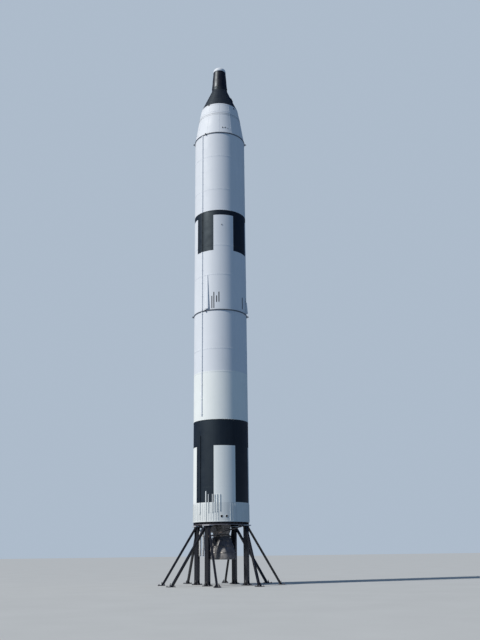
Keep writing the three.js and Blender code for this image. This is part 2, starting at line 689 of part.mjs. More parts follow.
function bellBand({ bottom, top, depth }) {
  const inner = [bottom, top].map((height) => chamberRadius(height) - BELL_WALL / 2);
  return lathe([
    [inner[0], bottom],
    [chamberRadius(bottom) + depth, bottom],
    [chamberRadius(top) + depth, top],
    [inner[1], top],
    [inner[0], bottom],
  ].map(([radius, height]) => [radius, BELL_EXIT_Z + height]), CHAMBER_SIDES);
}

function chamberSolid(side) {
  const centre = gimbalCentre(side);
  const outside = CHAMBER_OUTSIDE.map(({ radius, height }) => [radius, BELL_EXIT_Z + height]);
  const inside = CHAMBER_OUTSIDE
    .filter(({ height }) => height < BELL_DEPTH)
    .map(({ radius, height }) => [radius - BELL_WALL, BELL_EXIT_Z + height])
    .reverse();
  const top = outside[outside.length - 1][1];
  const profile = [[0, BELL_EXIT_Z + BELL_DEPTH], ...inside, ...outside, [0, top]];
  const turned = join([lathe(profile, CHAMBER_SIDES), ...BELL_BANDS.map(bellBand)]);
  const inletFoot = new THREE.Vector3(centre.x, INLET.offset, INLET.bottom);
  const solids = [
    turned.translate([centre.x, 0, 0]),
    ...ears('x', centre, top - EAR.below / 2, GIMBAL_Z + EAR.below),
    rod(inletFoot, inletFoot.clone().setZ(INLET.top), INLET.radius),
  ];
  // Lugs under the two actuators' eyes
  for (const { x, y } of actuatorPins(side)) {
    const towards = new THREE.Vector3(x, y, ACTUATOR.eye - LUG_DROP.end);
    const from = new THREE.Vector3(centre.x, 0, ACTUATOR.eye - LUG_DROP.root);
    solids.push(rod(from, towards, LUG_DROP.radius, PIPE_SIDES));
  }
  return join(solids);
}

function addEngines() {
  [-1, 1].forEach((side, i) => {
    const index = i + 1;
    const centre = gimbalCentre(side);
    const cross = box(centre.toArray(), CROSS_BLOCK)
      .add(crossPin('x', centre, PIN_RADIUS, EAR.far))
      .add(crossPin('y', centre, PIN_RADIUS, EAR.far));
    addNode(`gimbal_mount_${index}`, gimbalMount(side), STEEL_BLACK, engine);
    addNode(`gimbal_cross_${index}`, cross, BRIGHT_METAL, engine);
    addNode(`thrust_chamber_${index}`, chamberSolid(side), ENGINE_METAL, engine);
    for (const pin of actuatorPins(side)) addActuator(side, index, pin);
    addNode(`turbopump_${index}`, turbopump(side), ENGINE_METAL, engine);
    addNode(`exhaust_duct_${index}`, exhaustDuct(side), BRIGHT_METAL, engine);
  });
}

// A turbopump hangs from the beam beside its chamber, on the side away from the pitch actuator. Its suction
// line comes down from the tank, and its discharge line ends above the chamber's inlet
function turbopump(side) {
  const { x, y, z, arm, armZ } = PUMP;
  const at = (along, across, height) => new THREE.Vector3(side * along, across, height);
  const drums = PUMP_DRUMS.map(({ from, to, radius }) => rod(at(x + from, y, z), at(x + to, y, z), radius));
  const armStart = BEAM.half + SEAT_GAP;
  const suctionX = x + SUCTION_LINE.offset;
  const suctionY = y + SUCTION_LINE.offset;
  const outlet = DISCHARGE.gap + INLET.top;
  const solids = [
    ...drums,
    rod(at(suctionX, suctionY, z), at(suctionX, suctionY, SKIRT_TOP), SUCTION_LINE.radius, PIPE_SIDES)
      .subtract(fuelTank(SEAT_GAP)),
    box([side * x, (armStart + y) / 2, armZ], [arm[0], y - armStart, arm[1]]),
    pipe([
      ...DISCHARGE_RISE.map(([along, across, up]) => at(x + along, y + across, z + up)),
      ...DISCHARGE_FALL.map(([along, across, up]) => at(CHAMBER_X + along, INLET.offset + across, outlet + up)),
    ], DISCHARGE.radius, DISCHARGE.steps),
    rod(at(CHAMBER_X, INLET.offset, outlet),
      at(CHAMBER_X, INLET.offset, outlet + DISCHARGE.flangeHeight), DISCHARGE.flange),
  ];
  return join(solids);
}

// The turbine's exhaust runs outwards and then down beside the bell
function exhaustDuct(side) {
  const { y, z } = PUMP;
  const at = (along, across, height) => new THREE.Vector3(side * along, across, height);
  const start = y + PUMP_DRUMS[0].radius + SEAT_GAP;
  const route = [
    at(EXHAUST.x, start, z),
    at(EXHAUST.x, start + EXHAUST.radius, z),
    ...EXHAUST_ROUTE.map(([along, across, up]) => at(EXHAUST.x + along, EXHAUST.y + across, z + up)),
  ];
  return pipe(route, EXHAUST.radius, EXHAUST.steps);
}

// The stand: a ring girder on four columns, each with a head plate and two raked braces
function columnBlock(azimuth, extra = 0) {
  const width = COLUMN.width + 2 * extra;
  const centre = [0, -COLUMN.radius, COLUMN.top / 2];
  return box(centre, [width, width, COLUMN.top], azimuth);
}

function addStand() {
  const { inner, outer, bottom, flange, web } = RING;
  const top = SKIRT_BOTTOM - SEAT_GAP;
  const low = bottom + SEAT_GAP;
  const middle = (inner + outer) / 2;
  addNode('stand_ring', lathe([
    [inner, low],
    [outer, low],
    [outer, low + flange],
    [middle + web / 2, low + flange],
    [middle + web / 2, top - flange],
    [outer, top - flange],
    [outer, top],
    [inner, top],
    [inner, top - flange],
    [middle - web / 2, top - flange],
    [middle - web / 2, low + flange],
    [inner, low + flange],
    [inner, low],
  ]), STEEL_BLACK);
  let braceNumber = 0;
  COLUMN_AZIMUTHS.forEach((azimuth, i) => {
    const plate = ({ width, thickness }, bottom) =>
      box([0, -COLUMN.radius, bottom + thickness / 2], [width, width, thickness], azimuth);
    const solids = [columnBlock(azimuth), plate(BASE, 0), plate(HEAD, COLUMN.top)];
    if (i % 2 === 1) solids.push(tie(azimuth));
    addNode(`stand_column_${i + 1}`, join(solids), STEEL_BLACK);
    for (const side of [-1, 1]) {
      braceNumber += 1;
      addNode(`stand_brace_${braceNumber}`, brace(azimuth, side), STEEL_BLACK);
    }
  });
}

// A tube that rises from one column to the underside of the next one's head plate
function tie(azimuth) {
  const outward = place(azimuth + 45, TIE.outward, 0);
  const from = place(azimuth, COLUMN.radius, TIE.low).add(outward);
  const to = place(azimuth + 90, COLUMN.radius, COLUMN.top + HEAD.thickness / 2).add(outward);
  to.add(new THREE.Vector3().subVectors(from, to).setZ(0).setLength(TIE.headInset));
  const head = [0, -COLUMN.radius, COLUMN.top + HEAD.width - SEAT_GAP];
  return rod(from, to, TIE.radius)
    .subtract(box(head, [2 * HEAD.width, 2 * HEAD.width, 2 * HEAD.width], azimuth + 90));
}

function brace(azimuth, side) {
  const footAzimuth = azimuth + side * BRACE.spread;
  const foot = place(footAzimuth, BRACE.footRadius, -BRACE.buried);
  const head = place(azimuth, COLUMN.radius, BRACE.topZ).add(place(azimuth + 90, side * BRACE.side, 0));
  const pad = box([0, -BRACE.footRadius, BASE.thickness / 2], [BRACE.plate, BRACE.plate, BASE.thickness], footAzimuth);
  const ground = box([0, 0, -COLUMN.radius], [4 * BRACE.footRadius, 4 * BRACE.footRadius, 2 * COLUMN.radius]);
  const plateHeight = COLUMN.top - SEAT_GAP + HEAD.width;
  const abovePlate = box([0, -COLUMN.radius, plateHeight], [2 * HEAD.width, 2 * HEAD.width, 2 * HEAD.width], azimuth);
  return beam(foot, head, BRACE.width, footAzimuth)
    .subtract(columnBlock(azimuth, SEAT_GAP))
    .subtract(abovePlate)
    .subtract(ground)
    .add(pad);
}

addBarrel();
addSkirt();
addCollars();
addCovers();
addAdapter();
addCabin();
addThrustFrame();
addEngines();
addStand();

export default rocket;
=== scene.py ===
"""Looks of a two-stage rocket with a cone-shaped cabin on its black display stand.

Metres, +Z up, origin on the rocket's axis at pad level. An azimuth is in degrees: 0 faces -Y and it grows
towards +X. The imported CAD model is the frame, and every piece here sits on it.
"""

import itertools
import json
import math

import bmesh
import bpy
from mathutils import Matrix, Vector


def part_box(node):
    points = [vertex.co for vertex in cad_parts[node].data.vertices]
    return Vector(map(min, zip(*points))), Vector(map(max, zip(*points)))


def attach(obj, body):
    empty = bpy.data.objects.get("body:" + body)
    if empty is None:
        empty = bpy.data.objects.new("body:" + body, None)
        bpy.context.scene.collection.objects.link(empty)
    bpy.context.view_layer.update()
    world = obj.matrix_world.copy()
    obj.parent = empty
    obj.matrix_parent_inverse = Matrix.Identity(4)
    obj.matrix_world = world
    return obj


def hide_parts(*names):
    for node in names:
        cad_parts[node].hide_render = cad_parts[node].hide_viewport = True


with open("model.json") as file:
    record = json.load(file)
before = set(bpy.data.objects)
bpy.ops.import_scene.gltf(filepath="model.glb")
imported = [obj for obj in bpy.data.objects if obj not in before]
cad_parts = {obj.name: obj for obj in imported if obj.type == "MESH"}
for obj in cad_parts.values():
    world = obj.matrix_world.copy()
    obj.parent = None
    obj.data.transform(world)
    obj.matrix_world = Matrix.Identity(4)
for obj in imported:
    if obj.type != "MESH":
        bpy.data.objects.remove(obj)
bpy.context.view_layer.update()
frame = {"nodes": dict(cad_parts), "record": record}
ROOT = "rocket"


def low(node):
    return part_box(node)[0].z


def high(node):
    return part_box(node)[1].z


# Sizes of the body: those that the frame's boxes give, then those that no box shows
BODY_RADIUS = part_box("engine_skirt")[1].x
EQUIPMENT_TOP_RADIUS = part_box("retro_section")[1].x
CABIN_TOP_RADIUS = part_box("control_section")[1].x
NOSE_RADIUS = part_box("nose_cap")[1].x
ADAPTER_TOP_RADIUS = 1.145
CABIN_BASE_RADIUS = 1.145
RECOVERY_TOP_RADIUS = 0.385
SKIRT_INSIDE = BODY_RADIUS - 0.040
BARREL_INSIDE = BODY_RADIUS - 0.12
SKIRT_RING = {"bottom": 4.60, "top": 4.68, "depth": 0.09}
BODY_SIDES = 144

# The body's outline: heights and radii, with straight lines between
BODY_OUTLINE = [
    (low("engine_skirt"), BODY_RADIUS),
    (low("equipment_section"), BODY_RADIUS),
    (low("retro_section"), EQUIPMENT_TOP_RADIUS),
    (high("retro_section"), ADAPTER_TOP_RADIUS),
    (low("cabin_shell"), CABIN_BASE_RADIUS),
    (high("cabin_shell"), CABIN_TOP_RADIUS),
    (high("control_section"), CABIN_TOP_RADIUS),
    (low("nose_cap"), RECOVERY_TOP_RADIUS),
]

# Heights of the painted bands, and the azimuth of one edge of their eight panels
PANEL_EDGE = -31.3
PANEL_STEP = 45.0
LOWER_BAND = {"panel_bottom": 4.20, "panel_top": 7.18, "band_top": 8.57}
UPPER_BAND = {"panel_bottom": 18.48, "panel_top": 20.70, "band_top": 20.98}
WARM_BELOW = low("stage1_oxidizer_tank")
PAINT_EDGES = sorted([*LOWER_BAND.values(), *UPPER_BAND.values()])

# Blast slots of the interstage: offset from the group's azimuth, bottom, top
SLOT_GROUP_AZIMUTHS = [-27, 63, 153, 243]
SLOTS = [(-8, 14.93, 15.69), (-3.5, 14.93, 15.91), (2.5, 15.29, 15.69), (7.5, 15.29, 15.91)]
SLOT_WIDTH = 0.055
SLOT_DEPTH = 0.09

# Raised covers on the skin: azimuth, width and depth at the foot, and at the tip where they differ
COVERS = {
    "stage1_lower_conduit": (-64, 0.09, 0.040),
    "stage1_conduit": (-59.5, 0.08, 0.045),
    "stage2_conduit": (-59.5, 0.08, 0.045),
    "interstage_cover_1": (-45.5, 0.21, 0.09, 0.05, 0.03),
    "interstage_cover_2": (58.5, 0.22, 0.11, 0.18, 0.06),
}

# Round ports in the engine skirt
PORT_AZIMUTHS = [-15.5, -5.4]
PORT = {"height": 3.48, "radius": 0.062}

# Collars with lugs for the guys
LUG_AZIMUTHS = [-106.5, -49.5, 73.5, 130.5]
LUG = {"width": 0.026, "reach": 0.13, "height": 0.12, "hole": 0.022}
COLLAR = {"height": 0.06, "depth": 0.028, "bolts": 36}

# Cabin, with two hatches side by side: azimuths are offsets from the line between them
CABIN_WALL = 0.04
CABIN_FLOOR = 0.05
HATCH_SIDES = (("left", -1), ("right", 1))
HATCH_AZIMUTH = 90
HATCH = {"bottom": 28.70, "top": 29.60, "inner": 4, "outer": 42, "gap": 0.006, "corner": 0.07}
WINDOW = {"bottom": 29.28, "top": 29.48, "inner": 11, "outer": 31, "corner": 0.06}
HINGE = {"pin": 0.012, "knuckle": 0.022, "stand": 0.026, "length": 0.24, "lug": 0.03}

# Frames that turn a shape: a plate's X, Y and thickness to Y, Z and X, or its outside downwards
FACING_X = Matrix(((0, 0, 1, 0), (1, 0, 0, 0), (0, 1, 0, 0), (0, 0, 0, 1)))
FACING_DOWN = Matrix.Rotation(math.pi, 4, "X")
MIRROR_X = Matrix.Scale(-1, 4, (1, 0, 0))
MIRROR_Z = Matrix.Scale(-1, 4, (0, 0, 1))


# Places
def move(x, y, z):
    return Matrix.Translation((x, y, z))


def spin(degrees, axis="Z"):
    return Matrix.Rotation(math.radians(degrees), 4, axis)


def ring_frames(count, radius, height, at=Matrix(), start=0.0):
    """Frames evenly spaced round Z, each with its -Y outwards."""
    return [at @ spin(start + 360 * i / count) @ move(0, -radius, height) for i in range(count)]


def arc(end, steps):
    """Angles from 0 to an end."""
    return [end * i / steps for i in range(steps + 1)]


def place(azimuth, radius, height):
    angle = math.radians(azimuth)
    return Vector((radius * math.sin(angle), -radius * math.cos(angle), height))


def outline_at(height):
    for below, above in zip(BODY_OUTLINE, BODY_OUTLINE[1:]):
        if height <= above[0]:
            break
    return below, above


def hull_radius(height):
    (z1, r1), (z2, r2) = outline_at(height)
    return r1 + (r2 - r1) * (height - z1) / (z2 - z1)


def hull_lean(height):
    """How far the skin leans inwards at a height, in radians."""
    (z1, r1), (z2, r2) = outline_at(height)
    return math.atan2(r1 - r2, z2 - z1)


def degrees_across(length, height):
    """The azimuths that a length across the skin takes up at a height."""
    return math.degrees(length / hull_radius(height))


def on_skin(azimuth, height, lift=0.0):
    """A frame on the body's skin: X across, Y up along the skin and Z out of it."""
    lean = Matrix.Rotation(math.pi / 2 - hull_lean(height), 4, "X")
    return spin(azimuth) @ move(0, -hull_radius(height), height) @ lean @ move(0, 0, lift)


# Camera: the photograph's pinhole camera
CAMERA = {"distance": 43.0, "height": 1.6, "azimuth": -16.5, "pitch": 16.9, "aim_right": 1.525,
          "roll": 0.665, "focal_px": 768.0}
PHOTO_HEIGHT_PX = 640
SENSOR = 36.0


def add_object(name, data):
    made = bpy.data.objects.new(name, data)
    bpy.context.scene.collection.objects.link(made)
    return made


def make_camera():
    data = bpy.data.cameras.new("camera")
    camera = add_object("camera", data)
    bpy.context.scene.camera = camera
    data.sensor_fit = "AUTO"
    data.sensor_width = SENSOR
    data.lens = CAMERA["focal_px"] * SENSOR / PHOTO_HEIGHT_PX
    data.clip_start, data.clip_end = 0.5, 2000
    camera.location = place(CAMERA["azimuth"], CAMERA["distance"], CAMERA["height"])
    pitch = math.radians(CAMERA["pitch"])
    forward = -place(CAMERA["azimuth"] - CAMERA["aim_right"], math.cos(pitch), 0)
    forward.z = math.sin(pitch)
    roll = Matrix.Rotation(math.radians(-CAMERA["roll"]), 3, "Z")
    camera.rotation_mode = "QUATERNION"
    camera.rotation_quaternion = (forward.to_track_quat("-Z", "Y").to_matrix() @ roll).to_quaternion()


# Studio
SUN = {"azimuth": -81.5, "elevation": 40.0, "strength": 3.6, "angle": 4.0}
SKY_LIGHT = (0.13, 0.20, 0.30)
SKY_GLOSS = (0.03, 0.06, 0.15)
BACKDROP = (0.42, 0.50, 0.60)
FLOOR_SIZE = 900


def make_studio():
    scene = bpy.context.scene
    scene.view_settings.view_transform = "Standard"
    scene.world = bpy.data.worlds.new("studio")
    scene.world.use_nodes = True
    tree = scene.world.node_tree
    color = tree.nodes["Background"].inputs["Color"]
    path = tree.nodes.new("ShaderNodeLightPath")
    for ray, sky in (("Is Camera Ray", BACKDROP), ("Is Glossy Ray", SKY_GLOSS)):
        mix = tree.nodes.new("ShaderNodeMix")
        mix.data_type = "RGBA"
        mix.inputs["A"].default_value = (*SKY_LIGHT, 1)
        mix.inputs["B"].default_value = (*sky, 1)
        tree.links.new(path.outputs[ray], mix.inputs["Factor"])
        tree.links.new(mix.outputs["Result"], color)
        color = mix.inputs["A"]
    sun = bpy.data.lights.new("sun", "SUN")
    sun.energy = SUN["strength"]
    sun.angle = math.radians(SUN["angle"])
    sun.color = (1.0, 0.98, 0.93)
    lamp = add_object("sun", sun)
    elevation = math.radians(SUN["elevation"])
    towards = place(SUN["azimuth"], math.cos(elevation), math.sin(elevation))
    lamp.rotation_mode = "QUATERNION"
    lamp.rotation_quaternion = towards.to_track_quat("Z", "Y")
    bpy.ops.mesh.primitive_plane_add(size=FLOOR_SIZE)
    floor = bpy.context.object
    floor.name = "floor"
    floor.visible_diffuse = False
    floor.data.materials.append(floor_material())


# Materials
class Shader:
    """A material's node tree, with short calls for the nodes that the finishes share."""

    def __init__(self, name):
        self.material = bpy.data.materials.new(name)
        self.material.use_nodes = True
        self.tree = self.material.node_tree
        self.bsdf = self.tree.nodes["Principled BSDF"]
        self.coords = self.node("TexCoord").outputs["Object"]

    def fill(self, node, values):
        """Sets a node's sockets, or links them where the value is another node's socket."""
        for key, value in values.items():
            socket = node.inputs[key]
            if isinstance(value, bpy.types.NodeSocket):
                self.tree.links.new(value, socket)
            else:
                socket.default_value = (*value, 1) if socket.type == "RGBA" else value

    def node(self, kind, values=None, **settings):
        node = self.tree.nodes.new("ShaderNode" + kind)
        for key, value in settings.items():
            setattr(node, key, value)
        self.fill(node, values or {})
        return node

    def noise(self, scale, detail=4.0, roughness=0.55, stretch=None):
        coords = self.coords
        if stretch:
            coords = self.node("Mapping", {"Scale": stretch, "Vector": coords}).outputs["Vector"]
        values = {"Scale": scale, "Detail": detail, "Roughness": roughness, "Vector": coords}
        return self.node("TexNoise", values).outputs["Fac"]

    def ramp(self, value, low_edge, high_edge, low_value=0.0, high_value=1.0):
        return self.node("MapRange", {"From Min": low_edge, "From Max": high_edge, "To Min": low_value,
                                      "To Max": high_value, "Value": value}).outputs["Result"]

    def mix(self, factor, first, second):
        values = {"Factor": factor, "A": first, "B": second}
        return self.node("Mix", values, data_type="RGBA").outputs["Result"]

    def times(self, first, second):
        return self.node("Math", {0: first, 1: second}, operation="MULTIPLY").outputs["Value"]

    def bump(self, height, strength, distance):
        node = self.node("Bump", {"Strength": strength, "Distance": distance, "Height": height})
        self.fill(self.bsdf, {"Normal": node.outputs["Normal"]})

    def finish(self, color, roughness, metallic=0.0):
        self.fill(self.bsdf, {"Base Color": color, "Roughness": roughness, "Metallic": metallic})
        return self.material


def floor_material():
    shader = Shader("floor")
    return shader.finish(shader.mix(shader.noise(0.4, 6), (0.50, 0.50, 0.49), (0.58, 0.58, 0.57)), 0.8)


def paint(name, color, grime, cloudy=0.35, streak=0.35, gloss=0.38, shine=0.5, chips=None, sheen=None):
    """Weathered paint: cloudy tone, rain streaks that run down, fine orange peel."""
    shader = Shader(name)
    cloud = shader.ramp(shader.noise(0.55, 5, 0.6), 0.35, 0.75)
    rain = shader.ramp(shader.noise(1.0, 7, 0.7, stretch=(9.0, 9.0, 0.22)), 0.50, 0.78)
    speck = shader.ramp(shader.noise(16.0, 3, 0.8), 0.62, 0.74)
    tone = color
    for mask, share in ((cloud, cloudy), (rain, streak), (speck, 0.18)):
        tone = shader.mix(shader.times(mask, share), tone, grime)
    if chips:
        tone = shader.mix(shader.ramp(shader.noise(5.0, 9, 0.75), 0.66, 0.70), tone, chips)
    rough = shader.ramp(shader.noise(2.3), 0.3, 0.7, gloss - 0.06, gloss + 0.12)
    shader.bump(shader.noise(70.0, 2), 0.12, 0.002)
    shader.fill(shader.bsdf, {"Specular IOR Level": shine})
    if sheen:
        shader.fill(shader.bsdf, {"Specular Tint": sheen})
    return shader.finish(tone, rough)


def metal(name, color, tint, roughness=0.42, metallic=0.85):
    """Dull metal with stains and a fine brushed grain."""
    shader = Shader(name)
    stain = shader.ramp(shader.noise(6.0, 8, 0.7), 0.35, 0.7)
    grain = shader.noise(60.0, 3, stretch=(1.0, 1.0, 6.0))
    rough = shader.ramp(grain, 0.25, 0.75, roughness - 0.08, roughness + 0.14)
    shader.bump(grain, 0.15, 0.001)
    return shader.finish(shader.mix(stain, color, tint), rough, metallic)


def fabric(name, color, tint):
    """Coarse woven cover: two crossed sets of threads, with worn patches."""
    shader = Shader(name)
    threads = [shader.node("TexWave", {"Scale": 90.0, "Distortion": 0.6, "Vector": shader.coords},
                           bands_direction=axis).outputs["Fac"] for axis in ("X", "Y")]
    weave = shader.times(*threads)
    tone = shader.mix(shader.ramp(shader.noise(9.0, 5), 0.4, 0.7), color, tint)
    shader.bump(weave, 0.35, 0.002)
    return shader.finish(shader.mix(shader.times(weave, 0.3), tone, tint), 0.85)


def glass(name):
    shader = Shader(name)
    shader.fill(shader.bsdf, {"Transmission Weight": 0.6})
    return shader.finish((0.03, 0.04, 0.05), shader.ramp(shader.noise(12.0, 3), 0.2, 0.8, 0.04, 0.12))


def make_materials():
    return {
        "white": paint("white_paint", (0.75, 0.77, 0.81), (0.52, 0.54, 0.55), 0.12, 0.15, 0.55, 0.3),
        "warm": paint("warm_white_paint", (0.86, 0.88, 0.86), (0.55, 0.56, 0.52), 0.12, 0.15, 0.55, 0.3),
        "skirt": paint("skirt_white", (0.78, 0.80, 0.79), (0.42, 0.43, 0.41), 0.25, 0.5, 0.6, 0.3),
        "black": paint("black_paint", (0.004, 0.008, 0.016), (0.022, 0.032, 0.046), 0.3, 0.4, 0.50, 0.42,
                       sheen=(0.72, 0.90, 1.0)),
        "cabin": paint("cabin_black", (0.010, 0.014, 0.023), (0.034, 0.040, 0.050), 0.3, 0.4, 0.52, 0.42,
                       sheen=(0.75, 0.92, 1.0)),
        "shingle": paint("shingle_black", (0.006, 0.007, 0.014), (0.022, 0.022, 0.026), 0.3, 0.3, 0.44, 0.5,
                         sheen=(0.85, 0.93, 1.0)),
        "steel": paint("steel_black", (0.010, 0.011, 0.016), (0.035, 0.034, 0.036), gloss=0.24,
                       chips=(0.12, 0.075, 0.05)),
        "collar": paint("collar_grey", (0.10, 0.115, 0.14), (0.055, 0.058, 0.065), gloss=0.5),
        "worn": paint("worn_steel", (0.20, 0.19, 0.22), (0.11, 0.085, 0.075), gloss=0.5),
        # Light grey of the head plates: partly their own paler finish, partly a painted highlight where the
        # sun catches their edges.
        "plate": paint("plate_grey_and_highlight", (0.62, 0.62, 0.64), (0.34, 0.30, 0.27), gloss=0.5),
        "rust": paint("rusty_tube", (0.15, 0.115, 0.10), (0.09, 0.055, 0.04), gloss=0.55),
        "tubes": metal("bell_tubes", (0.34, 0.33, 0.32), (0.13, 0.125, 0.13), 0.5),
        "inside": paint("inside_primer", (0.20, 0.22, 0.20), (0.09, 0.09, 0.085), gloss=0.6),
        "engine": metal("engine_metal", (0.30, 0.29, 0.28), (0.13, 0.12, 0.115)),
        "bright": metal("bright_metal", (0.80, 0.80, 0.79), (0.50, 0.49, 0.46), 0.34, 0.4),
        "line": paint("seam_grey", (0.13, 0.14, 0.15), (0.07, 0.07, 0.07), gloss=0.6),
        # Near-black finish: the small fittings' own dark paint, and painted shade on the walls of the slots,
        # the ports and the thruster throats.
        "dark": paint("dark_paint_and_painted_shade", (0.018, 0.019, 0.022), (0.04, 0.04, 0.04), gloss=0.7),
        "glass": glass("window_glass"),
        "seat": fabric("seat_cover", (0.25, 0.26, 0.26), (0.13, 0.13, 0.13)),
    }


make_camera()
MATERIALS = make_materials()
make_studio()


# Mesh building
def around(sides):
    """Angles evenly spaced once round."""
    return arc(2 * math.pi, sides)[:-1]


def circle(radius, sides, at=Matrix()):
    return [at @ Vector((radius * math.cos(a), radius * math.sin(a), 0)) for a in around(sides)]


def along(start, end):
    """A frame at start whose Z points to end."""
    turn = (Vector(end) - Vector(start)).to_track_quat("Z", "Y").to_matrix().to_4x4()
    return Matrix.Translation(start) @ turn


def smooth_path(points, steps):
    """Points along a smooth curve through points."""
    points = [Vector(p) for p in points]
    ends = [2 * points[0] - points[1], *points, 2 * points[-1] - points[-2]]
    path = []
    for a, b, c, d in zip(ends, ends[1:], ends[2:], ends[3:]):
        for i in range(steps):
            t = i / steps
            path.append(0.5 * (2 * b + (c - a) * t + (2 * a - 5 * b + 4 * c - d) * t ** 2
                               + (3 * b - a - 3 * c + d) * t ** 3))
    return path + [points[-1]]


# Depth of a fluted wall at the three columns of each tube
FLUTE = (1.0, 0.15, 0.15)


class Build:
    """Collects closed shapes into one piece, in a frame of its own. A paint is a material's name, or a
    function of a point that gives one."""

    def __init__(self, paint, at=Matrix()):
        self.paint = paint
        self.at = at
        self.names = []
        self.verts = []
        self.faces = []
        self.indices = []

    def add(self, verts, faces, at=None, paint=None):
        at = self.at @ (at or Matrix())
        points = [at @ Vector(v) for v in verts]
        start = len(self.verts)
        self.verts.extend(points)
        paint = paint or self.paint
        for face in faces:
            name = paint(sum((points[i] for i in face), Vector()) / len(face)) if callable(paint) else paint
            if name not in self.names:
                self.names.append(name)
            self.indices.append(self.names.index(name))
            self.faces.append([start + i for i in face])

    def turned(self, profile, sides=32, at=None, paint=None, start=0.0):
        """A solid of revolution about Z, from (radius, height) points that end on the axis or close on
        themselves. A point's third number is how deep its wall is fluted."""
        verts, rings = [], []
        for radius, height, *flute in profile:
            count = sides if radius > 1e-6 else 1
            rings.append([len(verts) + i for i in range(count)])
            for i in range(count):
                depth = flute[0] * FLUTE[i % len(FLUTE)] if flute else 0
                verts.append(place(start + i * 360 / sides, radius - depth, height))
        if len(rings[0]) > 1:
            rings.append(rings[0])
        faces = []
        for below, above in zip(rings, rings[1:]):
            for i in range(sides):
                ahead = (i + 1) % sides
                corners = list(dict.fromkeys([below[i % len(below)], below[ahead % len(below)],
                                              above[ahead % len(above)], above[i % len(above)]]))
                if len(corners) > 2:
                    faces.append(corners)
        self.add(verts, faces, at, paint)

    def loft(self, loops, at=None, paint=None):
        """A solid through loops of as many points each, closed at both ends."""
        count = len(loops[0])
        verts = [point for loop in loops for point in loop]
        faces = [list(range(count))[::-1], [len(verts) - count + i for i in range(count)]]
        for row in range(len(loops) - 1):
            for i in range(count):
                a, b = row * count + i, row * count + (i + 1) % count
                faces.append([a, b, b + count, a + count])
        self.add(verts, faces, at, paint)

    def box(self, size, at, chamfer=0.004, paint=None):
        x, y, z = (s / 2 for s in size)
        c = min(chamfer, 0.4 * min(size))

        def corners(u, v, w):
            return [(u, v - c, w), (u - c, v, w), (c - u, v, w), (-u, v - c, w),
                    (-u, c - v, w), (c - u, -v, w), (u - c, -v, w), (u, c - v, w)]

        self.loft([corners(x - c, y - c, -z), corners(x, y, c - z), corners(x, y, z - c),
                   corners(x - c, y - c, z)], at, paint)

    def rod(self, start, end, radius, sides=16, end_radius=None, at=None, paint=None):
        turn = along(start, end)
        tip = turn @ move(0, 0, (Vector(end) - Vector(start)).length)
        self.loft([circle(radius, sides, turn), circle(end_radius or radius, sides, tip)], at, paint)

    def band(self, middle, way, half, radius, sides, paint=None):
        """A short rod that lies to both sides of its middle."""
        self.rod(middle - way * half, middle + way * half, radius, sides, paint=paint)

    def tube(self, points, radius, sides=12, at=None, paint=None):
        """A round pipe through points, with its sections turned as little as possible."""
        points = [Vector(p) for p in points]
        loops = []
        up = None
        for i, point in enumerate(points):
            way = (points[min(i + 1, len(points) - 1)] - points[max(i - 1, 0)]).normalized()
            side = way.orthogonal() if up is None else up - way * up.dot(way)
            up = side.normalized()
            across = way.cross(up)
            loops.append([point + radius * (math.cos(a) * up + math.sin(a) * across)
                          for a in around(sides)])
        self.loft(loops, at, paint)

    def torus(self, at, radius, height, thick, sides=48):
        self.turned([(radius + thick * math.cos(a), height + thick * math.sin(a))
                     for a in around(12)], sides, at)

    def slab(self, outline, thickness, at, paint=None):
        """A flat plate: an outline in X and Y, thick along Z."""
        self.loft([[(x, y, z) for x, y in outline] for z in (0, thickness)], at, paint)

    def bolt(self, at, radius=0.012, height=0.010, paint=None):
        self.loft([circle(radius, 6), circle(radius, 6, move(0, 0, height * 0.7)),
                   circle(radius * 0.8, 6, move(0, 0, height))], at, paint)

    def rivet(self, at, radius=0.009, height=0.004):
        self.loft([circle(radius, 6, move(0, 0, -height)), circle(radius, 6),
                   circle(radius * 0.5, 6, move(0, 0, height))], at)

    def rivet_ring(self, height, lift):
        count = round(2 * math.pi * hull_radius(height) / RIVET_PITCH)
        for i in range(count):
            self.rivet(on_skin(360 * i / count, height, lift))

    def hoop(self, middle, height, depth, sink=0.02, paint=None, ease=0.002):
        """A hoop on the skin."""
        bottom, top = middle - height / 2, middle + height / 2
        points = [(bottom, -sink), (bottom, depth - ease), (bottom + ease, depth), (top - ease, depth),
                  (top, depth - ease), (top, -sink)]
        profile = [(hull_radius(z) + lift, z) for z, lift in points]
        self.turned(profile, BODY_SIDES, paint=paint, start=PANEL_EDGE)

    def patch(self, rows, outer, inner=-0.01, columns=1, paint=None):
        """A curved plate on the skin between two lifts: rows of (height, from azimuth, to azimuth)."""
        verts = [on_skin(a + (b - a) * i / columns, z, lift).translation
                 for lift in (inner, outer) for z, a, b in rows for i in range(columns + 1)]
        width, count = columns + 1, (columns + 1) * len(rows)
        faces = []
        for j, i in itertools.product(range(len(rows) - 1), range(columns)):
            a = j * width + i
            tile = [a, a + 1, a + 1 + width, a + width]
            faces += [tile[::-1], [count + k for k in tile]]
        for edge in (range(width), range(columns, count, width), range(count - 1, count - 1 - width, -1),
                     range(count - width, -1, -width)):
            faces.extend([a, b, count + b, count + a] for a, b in zip(edge, edge[1:]))
        self.add(verts, faces, None, paint)

    def strip(self, azimuth, heights, width, depth):
        """A strip up the skin that keeps its width."""
        halves = [degrees_across(width / 2, z) for z in heights]
        self.patch([(z, azimuth - half, azimuth + half) for z, half in zip(heights, halves)], depth)

    def object(self, name):
        mesh = bpy.data.meshes.new(name)
        mesh.from_pydata([tuple(v) for v in self.verts], [], self.faces)
        for key in self.names:
            mesh.materials.append(MATERIALS[key])
        mesh.polygons.foreach_set("material_index", self.indices)
        work = bmesh.new()
        work.from_mesh(mesh)
        bmesh.ops.recalc_face_normals(work, faces=work.faces)
        work.to_mesh(mesh)
        work.free()
        return add_object(name, mesh)

